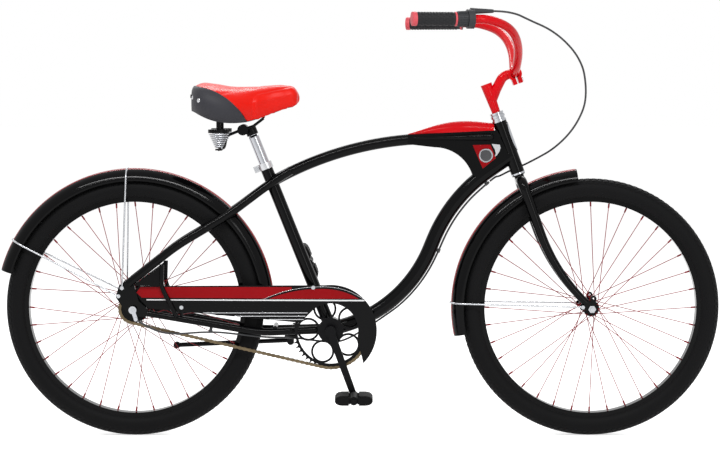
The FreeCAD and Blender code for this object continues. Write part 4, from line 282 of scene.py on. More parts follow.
# Extruded PVC cable jacket: dark, with lines along it
CABLE_PVC = Finish("pvc_jacket_extruded", "#1D1E20", "#26272A", 0.42, grain=Grain.BRUSHED, grain_mm=0.8)
# Coated vinyl of the saddle's top: bright orange-red with a fine leather-like grain
SADDLE_VINYL = Finish(
    "orange_red_vinyl_embossed", "#E61A0A", "#DE1508", 0.3, ior=1.26, grain=Grain.PEBBLE, grain_mm=1.1,
    depth_mm=0.05,
)
# Textured vinyl of the saddle's skirt: charcoal and matt
SKIRT_VINYL = Finish(
    "charcoal_vinyl_embossed", "#26262C", "#2E2E34", 0.55, ior=1.38, grain=Grain.PEBBLE, grain_mm=1.3,
    depth_mm=0.08, sheen=0.05,
)
# Stoved enamel of the tank's disc: dull dark grey under a thin lacquer
DARK_ENAMEL = Finish("dark_enamel_stoved", "#2A2A2D", "#333337", 0.4, coat=0.3, grain_mm=1.0, depth_mm=0.02)

NODE_FINISHES: dict[Finish, tuple[str, ...]] = {
    BLACK_ENAMEL: (
        "head_tube", "top_tube", "down_tube", "seat_tube", "bottom_bracket_shell", "seat_stays",
        "chain_stays", "rear_dropouts", "fork_blades", "fork_steerer", "front_fender", "rear_fender",
        "tank_body", "chain_guard", "front_rim", "rear_rim",
    ),
    BLACK_SATIN: (
        "chain_guard_brackets", "kickstand_leg", "kickstand_bracket", "crank_arms", "chainring",
        "saddle_rails", "saddle_clamp", "saddle_fasteners", "brake_arm", "rear_sprocket",
        "bottom_bracket_cups", "front_hub", "rear_hub",
    ),
    RED_ENAMEL: ("stem", "handlebar", "tank_cover"),
    RED_WIRE: ("front_spokes", "rear_spokes"),
    CHROME: ("headset_cups", "headset_lock_nut", "bell_crank", "seat_post", "saddle_springs"),
    ZINC: (
        "front_axle", "rear_axle", "frame_fasteners", "steering_fasteners", "front_fender_stays",
        "rear_fender_stays",
    ),
    ALLOY: ("seat_collar", "badges"),
    CHAIN_STEEL: ("chain",),
    TYRE_RUBBER: ("front_tyre", "rear_tyre", "pedal_right", "pedal_left"),
    GRIP_RUBBER: ("grips",),
    SHIFTER_ABS: ("twist_grip", "shifter_housing"),
    CABLE_PVC: ("shift_cable_run", "shift_cable_loop", "cable_clips"),
    SADDLE_VINYL: ("saddle_cushion",),
    SKIRT_VINYL: ("saddle_base",),
}


def dress_nodes() -> None:
    """Give every CAD node the material of its finish."""
    for finish, names in NODE_FINISHES.items():
        for name in names:
            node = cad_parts[name]
            node.data.materials.clear()
            node.data.materials.append(finish.material())


def mesh_object(name: str, points: Sequence, faces: list[Face], finish: Finish) -> bpy.types.Object:
    """Make a mesh object in the row frame with its faces turned outwards.

    Args:
        name: Name of the piece.
        points: Corner points in metres.
        faces: Corner numbers of each face.
        finish: Finish that covers the piece.

    Returns:
        The linked object.
    """
    mesh = bpy.data.meshes.new(name)
    mesh.from_pydata([tuple(point) for point in points], [], faces)
    shell = bmesh.new()
    shell.from_mesh(mesh)
    bmesh.ops.recalc_face_normals(shell, faces=shell.faces)
    shell.to_mesh(mesh)
    shell.free()
    mesh.materials.append(finish.material())
    piece = bpy.data.objects.new(name, mesh)
    bpy.context.scene.collection.objects.link(piece)
    return piece


def smooth(piece: bpy.types.Object, degrees: float = 35.0) -> bpy.types.Object:
    """Shade a piece smooth up to an edge angle.

    Args:
        piece: Piece to shade.
        degrees: Angle between two faces from which their edge is sharp.

    Returns:
        The same piece.
    """
    piece.data.shade_smooth()
    piece.data.set_sharp_from_angle(angle=math.radians(degrees))
    return piece


def settle(piece: bpy.types.Object, body: Body, slot: Slot, *nodes: str) -> bpy.types.Object:
    """Ride a piece on a body and hide the CAD nodes that it stands for.

    Args:
        piece: Piece in its place.
        body: CAD body that it moves with.
        slot: Material slot of the record; not used.
        nodes: CAD nodes that the piece replaces.

    Returns:
        The same piece.
    """
    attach(piece, body.value)
    if nodes:
        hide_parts(*nodes)
    log.info("%s rides on %s", piece.name, body.value)
    return piece


def flex(piece: bpy.types.Object, node: str) -> None:
    """Stand a piece in place of one CAD node, with its place baked into its mesh.

    Args:
        piece: Piece in its place.
        node: CAD node that the piece replaces.
    """
    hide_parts(node)
    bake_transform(piece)


def around(first: Direction, second: Direction, turn: float) -> Direction:
    """Direction at an angle in radians from one unit vector towards another that is square to it."""
    return first * math.cos(turn) + second * math.sin(turn)


def basis(axis: Vector) -> tuple[Vector, Vector]:
    """Two unit vectors square to an axis and to each other.

    Args:
        axis: Direction of the axis.

    Returns:
        The two vectors, turning right-handed about the axis.
    """
    axis = axis.normalized()
    upright = 0.9
    helper = Vector((0, 0, 1)) if abs(axis.z) < upright else Vector((1, 0, 0))
    first = axis.cross(helper).normalized()
    return first, axis.cross(first)


def woven(rows: int, wide: int, closed: bool = True) -> list[Face]:
    """Faces between rows of points that follow one another.

    Args:
        rows: Number of rows.
        wide: Points in each row.
        closed: Whether each row runs round to its first point.

    Returns:
        Four-cornered faces.
    """
    faces = []
    for start in range(0, (rows - 1) * wide, wide):
        for cell in range(wide if closed else wide - 1):
            here, after = start + cell, start + (cell + 1) % wide
            faces.append((here, after, after + wide, here + wide))
    return faces


def capped(rows: int, wide: int) -> list[Face]:
    """Faces of a closed skin over rings of points, with a flat face at each end.

    Args:
        rows: Number of rings.
        wide: Points in each ring.

    Returns:
        All the faces.
    """
    count = rows * wide
    return woven(rows, wide) + [tuple(range(wide)), tuple(range(count - wide, count))]


def banded(rows: int, wide: int) -> list[Face]:
    """Faces of a thin band, from a sheet of points and a second sheet under it.

    Args:
        rows: Rows of points along each sheet.
        wide: Points across each row.

    Returns:
        Faces of both sheets and of the edges between them.
    """
    under = rows * wide
    sheet = woven(rows, wide, closed=False)
    faces = sheet + [tuple(corner + under for corner in face) for face in sheet]
    edges = [(a, a + wide) for row in range(rows - 1) for a in (row * wide, row * wide + wide - 1)]
    edges += [(a, a + 1) for cell in range(wide - 1) for a in (cell, under - wide + cell)]
    return faces + [(a, b, b + under, a + under) for a, b in edges]


def add_solid(points: list, faces: list[Face], first: Sequence, last: Sequence) -> None:
    """Add one solid between two outlines with as many corners.

    Args:
        points: Corner list that grows.
        faces: Face list that grows.
        first: Corners of one end.
        last: Corners of the other end.
    """
    start = len(points)
    points.extend([*first, *last])
    faces.extend(tuple(start + corner for corner in face) for face in capped(2, len(first)))


def add_prism(points: list, faces: list[Face], outline: Sequence, low: float, high: float) -> None:
    """Add one prism that runs across the bicycle.

    Args:
        points: Corner list that grows.
        faces: Face list that grows.
        outline: X and Z of each corner in millimetres.
        low: Y of one end in millimetres.
        high: Y of the other end.
    """
    first, last = ([(x * MM, y * MM, z * MM) for x, z in outline] for y in (low, high))
    add_solid(points, faces, first, last)


def revolved(
    name: str, profile: Sequence[Flat], origin: Vector, axis: Vector, finish: Finish, steps: int = 64
) -> bpy.types.Object:
    """Turn a closed profile round an axis.

    Args:
        name: Name of the piece.
        profile: Radius and place along the axis of each corner, in millimetres.
        origin: Point where the place along the axis is zero, in metres.
        axis: Direction of the axis.
        finish: Finish that covers the piece.
        steps: Number of steps round the axis.

    Returns:
        The ring, disc or sleeve.
    """
    axis = axis.normalized()
    first, second = basis(axis)
    count = len(profile)
    points = []
    for step in range(steps):
        outward = around(first, second, 2 * math.pi * step / steps)
        points += [origin + outward * (radius * MM) + axis * (along * MM) for radius, along in profile]
    faces = woven(steps + 1, count)
    faces = [tuple(corner % len(points) for corner in face) for face in faces]
    return smooth(mesh_object(name, points, faces, finish))


def tube_along(
    name: str, line: list[Vector], radius: float, finish: Finish, sides: int = 12
) -> bpy.types.Object:
    """Round tube along a smooth line, with closed ends.

    Args:
        name: Name of the piece.
        line: Points close together on the tube's centre line.
        radius: Tube radius in metres.
        finish: Finish that covers the tube.
        sides: Corners of each ring.

    Returns:
        The tube as a mesh.
    """
    before = [line[0], *line[:-1]]
    after = [*line[1:], line[-1]]
    headings = [(there - here).normalized() for here, there in zip(before, after)]
    side, _ = basis(headings[0])
    points = []
    for centre, heading in zip(line, headings):
        side = (side - heading * side.dot(heading)).normalized()
        up = heading.cross(side)
        points += [centre + around(side, up, 2 * math.pi * step / sides) * radius for step in range(sides)]
    return smooth(mesh_object(name, points, capped(len(line), sides), finish), degrees=50.0)


def spline_points(route: Sequence, per_point: int = 14) -> list[Vector]:
    """Points read from one smooth NURBS spline that has the route's points as its controls.

    Args:
        route: Control points in metres.
        per_point: Points read for each control.

    Returns:
        Points on the spline from its first to its last control.
    """
    data = bpy.data.curves.new("route", "CURVE")
    data.dimensions = "3D"
    data.resolution_u = per_point
    spline = data.splines.new("NURBS")
    spline.points.add(len(route) - 1)
    for control, point in zip(spline.points, route):
        control.co = (*point, 1.0)
    spline.order_u = 3
    spline.use_endpoint_u = True
    carrier = bpy.data.objects.new("route", data)
    line = bpy.data.meshes.new_from_object(carrier)
    points = [vertex.co.copy() for vertex in line.vertices]
    bpy.data.objects.remove(carrier)
    bpy.data.curves.remove(data)
    bpy.data.meshes.remove(line)
    return points


def spline_through(points: list[Flat], per_span: int, closing_steps: int = 8) -> list[Flat]:
    """Smooth open line through points, followed by the straight run back to its start.

    Args:
        points: Points to pass through.
        per_span: Points made for each span.
        closing_steps: Points of the straight run, with both of its ends.

    Returns:
        Points on the line.
    """
    table = np.array(points)
    ends = np.vstack([2 * table[0] - table[1], table, 2 * table[-1] - table[-2]])
    line = []
    for index in range(1, len(ends) - 2):
        a, b, c, d = ends[index - 1:index + 3]
        square, cube = 2 * a - 5 * b + 4 * c - d, 3 * b - a - 3 * c + d
        for t in np.linspace(0, 1, per_span, endpoint=False):
            line.append(0.5 * (2 * b + (c - a) * t + square * t**2 + cube * t**3))
    line.append(table[-1])
    shares = np.linspace(0, 1, closing_steps)[1:-1]
    line += [table[-1] + (table[0] - table[-1]) * share for share in shares]
    return [tuple(point) for point in line]


def plate(
    name: str, outline: Sequence[Flat], origin: Vector, depth: Flat, finish: Finish, edge: float
) -> bpy.types.Object:
    """Flat plate upright in the XZ plane with softened edges.

    Args:
        name: Name of the piece.
        outline: X and Z of each corner from the origin, in millimetres.
        origin: Point that the outline is measured from, in metres.
        depth: Y of the plate's two faces in metres.
        finish: Finish that covers the plate.
        edge: Width of the softened edge in millimetres.

    Returns:
        The plate.
    """
    points: list[Point] = []
    faces: list[Face] = []
    low, high = ([(origin.x + x * MM, y, origin.z + z * MM) for x, z in outline] for y in depth)
    add_solid(points, faces, low, high)
    piece = mesh_object(name, points, faces, finish)
    soft = piece.modifiers.new("edge", "BEVEL")
    soft.width = edge * MM
    soft.segments = 2
    return smooth(piece)


def applied(piece: bpy.types.Object, kind: str, **settings) -> bpy.types.Object:
    """Apply one modifier to a copy of a piece and drop the first one.

    Args:
        piece: Piece that the modifier works on.
        kind: Modifier type.
        settings: Settings of the modifier.

    Returns:
        A new object with the modifier's result as its mesh.
    """
    modifier = piece.modifiers.new("shape", kind)
    for name, value in settings.items():
        setattr(modifier, name, value)
    shaped = piece.evaluated_get(bpy.context.evaluated_depsgraph_get())
    made = bpy.data.objects.new(piece.name, bpy.data.meshes.new_from_object(shaped))
    bpy.context.scene.collection.objects.link(made)
    bpy.data.objects.remove(piece)
    return made


@dataclass
class Layout:
    """Reference points of the bicycle in the row frame, in metres."""

    front_axle: Vector = field(default_factory=lambda: Vector((0.597316, 0, 0.3335)))
    rear_axle: Vector = field(default_factory=lambda: Vector((-0.583284, 0, 0.3335)))
    bracket: Vector = field(default_factory=lambda: Vector((-0.075585, 0, 0.2773)))
    saddle: Vector = field(default_factory=lambda: Vector((-0.285779, 0, 0.802823)))
    bar_clamp: Vector = field(default_factory=lambda: Vector((0.398575, 0, 0.938013)))
    head_tilt: float = math.radians(20.0)
    fork_rake: float = 0.058
    head_top: float = 0.53303
    tank_drop: float = 0.038

    def steer(self, along: float, ahead: float = 0.0) -> Vector:
        """Point on or ahead of the steering axis.

        Args:
            along: Distance up the axis from beside the front axle, in metres.
            ahead: Distance forwards, square to the axis.

        Returns:
            The point in the row frame.
        """
        up = Vector((-math.sin(self.head_tilt), 0, math.cos(self.head_tilt)))
        forward = Vector((math.cos(self.head_tilt), 0, math.sin(self.head_tilt)))
        foot = self.front_axle - forward * self.fork_rake
        return foot + up * along + forward * ahead

    def tank_origin(self) -> Vector:
        """Where the top tube meets the steering axis."""
        return self.steer(self.head_top - self.tank_drop)


LAYOUT = Layout()


@dataclass(frozen=True)
class WheelEnd:
    """One end of the bicycle: its axle, its wheel and the fender over it, whose ends are in degrees."""

    name: str
    axle: Vector
    wheel: Body
    carrier: Body
    fender: Flat

    def on_crown(self, radius: float, section: float, turn: float, lean: float, lift: float) -> Vector:
        """Point over the rounded crown of the tyre or the fender.

        Args:
            radius: Distance from the axle to the top of the crown, in metres.
            section: Radius of the crown's section in metres.
            turn: Angle round the axle in radians, from ahead upwards.
            lean: Angle round the section from its top in radians.
            lift: Height over the surface in metres.

        Returns:
            The point in the row frame.
        """
        reach = section + lift
        out = radius - section + reach * math.cos(lean)
        return self.axle + Vector((out * math.cos(turn), reach * math.sin(lean), out * math.sin(turn)))


WHEEL_ENDS = (
    WheelEnd("front", LAYOUT.front_axle, Body.FRONT_WHEEL, Body.STEERING, (96.0, 192.0)),
    WheelEnd("rear", LAYOUT.rear_axle, Body.REAR_WHEEL, Body.FRAME, (-3.0, 164.3)),
)
# Corners of one end of a small block: along and across, as shares of its half sizes
BLOCK_CORNERS = ((-1, -1), (1, -1), (1, 1), (-1, 1))


@dataclass
class Tread:
    """Low tread blocks in staggered rows round one tyre."""

    end: WheelEnd
    crown_radius: float = 0.3335
    section_radius: float = 0.0269
    rows: tuple[float, ...] = (-52.0, -34.0, -17.0, 0.0, 17.0, 34.0, 52.0)
    blocks: int = 132
    block_share: float = 0.62
    block_width: float = 11.0
    skew: float = 0.55
    height: float = 0.9 * MM
    sunk: float = 0.6 * MM
    top_share: float = 0.86

    def build(self) -> None:
        """Make all the blocks of the tyre as one mesh."""
        points: list[Vector] = []
        faces: list[Face] = []
        pitch = 2 * math.pi / self.blocks
        for row, lean in enumerate(self.rows):
            for block in range(self.blocks):
                turn = (block + (row % 2) / 2) * pitch
                foot = self.block_end(turn, math.radians(lean), 1.0, -self.sunk)
                top = self.block_end(turn, math.radians(lean), self.top_share, self.height)
                add_solid(points, faces, foot, top)
        piece = mesh_object(f"{self.end.name}_tread", points, faces, TYRE_RUBBER)
        settle(piece, self.end.wheel, Slot.TYRE)

    def block_end(self, turn: float, lean: float, share: float, lift: float) -> list[Vector]:
        """Foot or top of one block, skewed so that its row points forwards.

        Args:
            turn: Angle of the block's middle in radians.
            lean: Angle of its row across the tyre in radians.
            share: Size of this end as a share of the foot.
            lift: Height over the rubber in metres.

        Returns:
            Four corners in the row frame.
        """
        half = math.pi / self.blocks * self.block_share
        wide = math.radians(self.block_width) / 2
        skew = half * self.skew * float(np.sign(lean))
        corners = []
        for along, across in BLOCK_CORNERS:
            slide = turn + along * half * share + across * skew
            tilt = lean + across * wide * share
            corners.append(self.end.on_crown(self.crown_radius, self.section_radius, slide, tilt, lift))
        return corners


@dataclass
class FenderStripe:
    """Red lacquered stripe down the crown of one fender."""

    end: WheelEnd
    radius: float = 0.361
    crown_radius: float = 0.0347
    half_width: float = 13.0 * MM
    lift: float = 0.35 * MM
    sunk: float = 0.4 * MM
    margin: float = 0.6
    steps: int = 120
    cells: int = 9

    def build(self) -> None:
        """Make the stripe as a thin closed band that follows the fender's crown."""
        start, stop = self.end.fender
        turns = np.radians(np.linspace(start + self.margin, stop - self.margin, self.steps))
        leans = np.linspace(-1, 1, self.cells) * self.half_width / self.crown_radius
        points = [
            self.end.on_crown(self.radius, self.crown_radius, turn, lean, lift)
            for lift in (self.lift, -self.sunk) for turn in turns for lean in leans
        ]
        faces = banded(self.steps, self.cells)
        piece = smooth(mesh_object(f"{self.end.name}_fender_stripe", points, faces, DEEP_RED))
        settle(piece, self.end.carrier, Slot.RED_PAINT)


@dataclass
class FenderBead:
    """Rolled edges that close one fender's sides down over the tyre, in millimetres."""

    end: WheelEnd
    half_width: float = 33.0
    outer: float = 338.5
    inner: float = 329.0
    wall: float = 1.6
    swell: float = 1.3
    corners: int = 14
    steps: int = 110

    def build(self) -> None:
        """Sweep the rounded edge section along the fender on both sides."""
        middle, half = (self.outer + self.inner) / 2, (self.outer - self.inner) / 2
        thick = self.wall / 2 * self.swell
        turns = np.linspace(0, 2 * math.pi, self.corners, endpoint=False)
        section = [(middle + half * math.cos(turn), thick * math.sin(turn)) for turn in turns]
        angles = np.radians(np.linspace(*self.end.fender, self.steps))
        for side, word in SIDES.items():
            y = side * (self.half_width - self.wall / 2)
            points = [
                self.end.axle + Vector((r * math.cos(angle), y + across, r * math.sin(angle))) * MM
                for angle in angles for r, across in section
            ]
            faces = capped(self.steps, self.corners)
            piece = mesh_object(f"{self.end.name}_fender_bead_{word}", points, faces, BLACK_ENAMEL)
            settle(smooth(piece, degrees=60.0), self.end.carrier, Slot.BLACK_PAINT)


@dataclass
class Pedal:
    """Block pedal, in millimetres: a barrel between two ribbed rubber blocks, and a plate at each end."""

    body: Body
    lobe: tuple[Flat, ...] = (
        (13.0, 12.6), (30.0, 12.6), (39.0, 11.2), (45.0, 7.6), (48.2, 2.6), (46.6, 0.0), (48.2, -2.6),
        (45.0, -7.6), (39.0, -11.2), (30.0, -12.6), (13.0, -12.6),
    )
    core: float = 0.9
    core_inset: float = 0.5
    ribs: int = 6
    rib_share: float = 0.74
    barrel: float = 11.0
    barrel_steps: int = 40
    bore: float = 5.6
    end_half: Flat = (40.0, 8.5)
    end_wall: float = 3.0
    end_overlap: float = 2.0

    def end_corners(self) -> tuple[Flat, ...]:
        """Corners of one end plate, which runs from the barrel out into a block."""
        start, (x, z) = self.barrel - self.end_overlap, self.end_half
        return (start, -z), (x, -z), (x, z), (start, z)

    def build(self) -> None:
        """Make the pedal where its CAD node lies, turned as that node is."""
        node = self.body.value
        corners = np.array([vertex.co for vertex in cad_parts[node].data.vertices]) / MM
        low, high = corners[:, 1].min(), corners[:, 1].max()
        flat = corners[:, (0, 2)]
        centre = (flat.min(axis=0) + flat.max(axis=0)) / 2
        along = np.linalg.svd(flat - centre, full_matrices=False)[2][0]
        over = np.array([-along[1], along[0]])
        points: list[Point] = []
        faces: list[Face] = []
        pitch = (high - low - 2 * self.end_wall) / self.ribs
        for side in SIDES:
            block = [centre + (along * x + over * z) * side for x, z in self.lobe]
            middle = np.mean(block, axis=0)
            inner = [middle + (corner - middle) * self.core for corner in block]
            add_prism(points, faces, inner, low + self.core_inset, high - self.core_inset)
            for rib in range(self.ribs):
                start = low + self.end_wall + pitch * (rib + (1 - self.rib_share) / 2)
                add_prism(points, faces, block, start, start + pitch * self.rib_share)
            end = [centre + (along * x + over * z) * side for x, z in self.end_corners()]
            for start in (low, high - self.end_wall):
                add_prism(points, faces, end, start, start + self.end_wall)
        piece = smooth(mesh_object(f"{node}_blocks", points, faces, TYRE_RUBBER), degrees=30.0)
        settle(piece, self.body, Slot.PEDAL, node)
        width = high - low
        sleeve = [(self.bore, 0.0), (self.barrel, 0.0), (self.barrel, width), (self.bore, width)]
        foot = Vector((centre[0], low, centre[1])) * MM
        across = Vector((0, 1, 0))
        barrel = revolved(f"{node}_barrel", sleeve, foot, across, TYRE_RUBBER, self.barrel_steps)
        settle(barrel, self.body, Slot.PEDAL)


@dataclass
class Chain:
    """Roller chain, in millimetres: inner and outer plates in turn, with pins, round its two wheels."""

    pitch: float = 12.7
    links: int = 114
    ring_teeth: int = 48
    sprocket_teeth: int = 18
    line: float = -46.0
    plate_radius: float = 4.3
    plate_sweep: float = 1.9
    plate_steps: int = 9
    waist: float = 2.9
    inner_plate: Flat = (2.6, 3.4)
    outer_plate: Flat = (3.6, 4.4)
    pin_radius: float = 1.9
    pin_half: float = 4.9
    pin_sides: int = 10

    def pitch_radius(self, teeth: int) -> float:
        """Radius of the rollers' circle on a wheel of so many teeth."""
        return self.pitch / (2 * math.sin(math.pi / teeth))

    def roller(self, index: int) -> np.ndarray:
        """Place of one roller.

        Args:
            index: Number of the roller, counted from where the chain's top run meets the chainring.

        Returns:
            X and Z in millimetres.
        """
        ring, sprocket = self.pitch_radius(self.ring_teeth), self.pitch_radius(self.sprocket_teeth)
        front, rear = (np.array([hub.x, hub.z]) / MM for hub in (LAYOUT.bracket, LAYOUT.rear_axle))
        span = float(np.linalg.norm(front - rear))
        ahead = (front - rear) / span
        up = np.array([-ahead[1], ahead[0]])
        lean = math.asin((ring - sprocket) / span)
        run = span * math.cos(lean)
        wraps = ring * (math.pi + 2 * lean), sprocket * (math.pi - 2 * lean)
        top = math.pi / 2 + lean
        place = (index % self.links) * (sum(wraps) + 2 * run) / self.links
        if place < wraps[0]:
            return front + around(ahead, up, top - place / ring) * ring
        place -= wraps[0]
        if place < run:
            below = around(ahead, up, -top)
            start, stop = front + below * ring, rear + below * sprocket
            return start + (stop - start) * (place / run)
        place -= run
        if place < wraps[1]:
            return rear + around(ahead, up, -top - place / sprocket) * sprocket
        place -= wraps[1]
        above = around(ahead, up, top)
        start, stop = rear + above * sprocket, front + above * ring
        return start + (stop - start) * (place / run)

    def plate_outline(self, first: np.ndarray, last: np.ndarray) -> list[np.ndarray]:
        """Waisted outline of a side plate round two rollers.

        Args:
            first: Place of one roller.
            last: Place of the next.

        Returns:
            Corners of the outline.
        """
        along = (last - first) / np.linalg.norm(last - first)
        over = np.array([-along[1], along[0]])
        turns = np.linspace(-self.plate_sweep, self.plate_sweep, self.plate_steps)
        outline = []
        for centre, sign in ((last, 1), (first, -1)):
            outline += [centre + around(along, over, turn) * self.plate_radius * sign for turn in turns]
            outline.append((first + last) / 2 + over * self.waist * sign)
        return outline

    def build(self) -> None:
        """Make every link of the chain as one mesh."""
        points: list[Point] = []
        faces: list[Face] = []
        turns = np.linspace(0, 2 * math.pi, self.pin_sides, endpoint=False)
        rim = [self.pin_radius * np.array([math.cos(turn), math.sin(turn)]) for turn in turns]
        for link in range(self.links):
            first, last = self.roller(link), self.roller(link + 1)
            outline = self.plate_outline(first, last)
            low, high = self.inner_plate if link % 2 else self.outer_plate
            for side in SIDES:
                add_prism(points, faces, outline, self.line + side * low, self.line + side * high)
            pin = [first + spot for spot in rim]
            add_prism(points, faces, pin, self.line - self.pin_half, self.line + self.pin_half)
        settle(mesh_object("roller_chain", points, faces, CHAIN_STEEL), Body.FRAME, Slot.CHAIN, "chain")


@dataclass
class ChainGuard:
    """Panels, stripe, ribs and pinstripes on the chain guard, in millimetres from the bottom bracket."""

    face: float = -55.8
    sunk: float = 0.4
    edge: float = 0.2
    proud: float = 0.7
    panel_top: float = 113.6
    panel_low: float = 83.5
    long_panel: tuple[Flat, ...] = (
        (-500.0, 99.0), (-489.0, panel_top), (-100.0, panel_top), (-100.0, panel_low), (-486.0, 86.0),
    )
    long_border: tuple[Flat, ...] = (
        (-504.5, 99.5), (-490.5, 115.4), (-98.0, 115.4), (-98.0, 82.0), (-487.5, 84.0),
    )
    border_proud: float = 0.35
    stripe: tuple[Flat, ...] = ((-474.0, 79.0), (-474.0, 81.8), (84.0, 80.3), (90.0, 78.4), (84.0, 76.5))
    drop_ends: Flat = (-158.0, 72.0)
    drop_growth: tuple[float, float, float, float] = (2.4, 2.2, 0.2, 0.95)
    drop_sink: float = 5.0
    drop_power: float = 2.2
    drop_steps: int = 33
    drop_foot: Flat = (1.0, 0.4)
    # How far each layer of the teardrop grows, and its height over the long panel
    drop_line: Flat = (6.2, 0.3)
    drop_border: Flat = (5.4, 0.55)
    drop_panel: Flat = (0.0, 0.85)
    crest_share: float = 0.59
    # Height of each row and the place where it starts
    rib_rows: tuple[Flat, ...] = (
        (68.0, -452.0), (59.5, -420.0), (51.0, -372.0), (42.5, -300.0), (34.0, -205.0),
    )
    rib_half: float = 2.4
    rib_proud: float = 1.6
    pinstripes: tuple[Flat, ...] = ((46.5, -330.0), (38.0, -250.0), (29.5, -160.0))
    pinstripe_half: float = 0.9
    pinstripe_proud: float = 0.6
    window_radius: float = 71.0
    window_gap: float = 4.0
    bar_taper: float = 3.0
    bar_slant: float = 1.0

    def panel(self, name: str, corners: Sequence[Flat], finish: Finish, proud: float, slot: Slot) -> None:
        """Lay one flat panel on the guard's face.

        Args:
            name: Name of the panel.
            corners: Corners of its outline.
            finish: Finish of the panel.
            proud: Height over the guard's face.
            slot: Material slot of the record.
        """
        depth = (self.face + self.sunk) * MM, (self.face - proud) * MM
        settle(plate(name, corners, LAYOUT.bracket, depth, finish, self.edge), Body.FRAME, slot)

    def teardrop(self, grow: float) -> list[Flat]:
        """Outline of the front panel: an arched top over a straight foot.

        Args:
            grow: How far the outline grows on all sides.

        Returns:
            Corners of the outline.
        """
        grow_left, grow_right, grow_foot, grow_top = (grow * share for share in self.drop_growth)
        left, right = self.drop_ends[0] - grow_left, self.drop_ends[1] + grow_right
        low = self.panel_low - grow_foot
        top = self.panel_top - self.drop_sink + grow_top
        arch = []
        for share in np.linspace(0, 1, self.drop_steps):
            run = self.crest_share if share < self.crest_share else 1 - self.crest_share
            away = abs(share - self.crest_share) / run
            arch.append((left + (right - left) * share, low + (top - low) * (1 - away**self.drop_power)))
        inset, drop = self.drop_foot
        return arch + [(right - inset, low - drop), (left + inset, low - drop)]

    def bar(self, height: float, start: float, half: float) -> list[Flat]:
        """Outline of one long bar that ends at the guard's round window.

        Args:
            height: Height of its middle.
            start: Place where it starts.
            half: Half its width.

        Returns:
            Corners of the outline.
        """
        edge = self.window_radius + self.window_gap
        reach = math.sqrt(edge**2 - min(height, self.window_radius) ** 2)
        shoulder, high, low = start + self.bar_taper * half, height + half, height - half
        foot = -reach - self.bar_slant
        return [(start, height), (shoulder, high), (-reach, high), (foot, low), (shoulder, low)]

    def build(self) -> None:
        """Lay every panel, stripe and rib."""
        black, red, badge = Slot.BLACK_PAINT, Slot.RED_PAINT, Slot.BADGE
        self.panel("guard_panel_border", self.long_border, BLACK_SATIN, self.border_proud, black)
        self.panel("guard_panel_long", self.long_panel, DEEP_RED, self.proud, red)
        for name, (grow, lift), finish, slot in (
            ("guard_teardrop_line", self.drop_line, ALLOY, badge),
            ("guard_teardrop_border", self.drop_border, BLACK_SATIN, black),
            ("guard_teardrop", self.drop_panel, DEEP_RED, red),
        ):
            self.panel(name, self.teardrop(grow), finish, self.proud + lift, slot)
        self.panel("guard_white_stripe", self.stripe, WHITE_FILM, self.proud, badge)
        for number, place in enumerate(self.rib_rows):
            corners = self.bar(*place, self.rib_half)
            self.panel(f"guard_rib_{number}", corners, BLACK_ENAMEL, self.rib_proud, black)
        for number, place in enumerate(self.pinstripes):
            corners = self.bar(*place, self.pinstripe_half)
            self.panel(f"guard_pinstripe_{number}", corners, ALLOY, self.pinstripe_proud, badge)


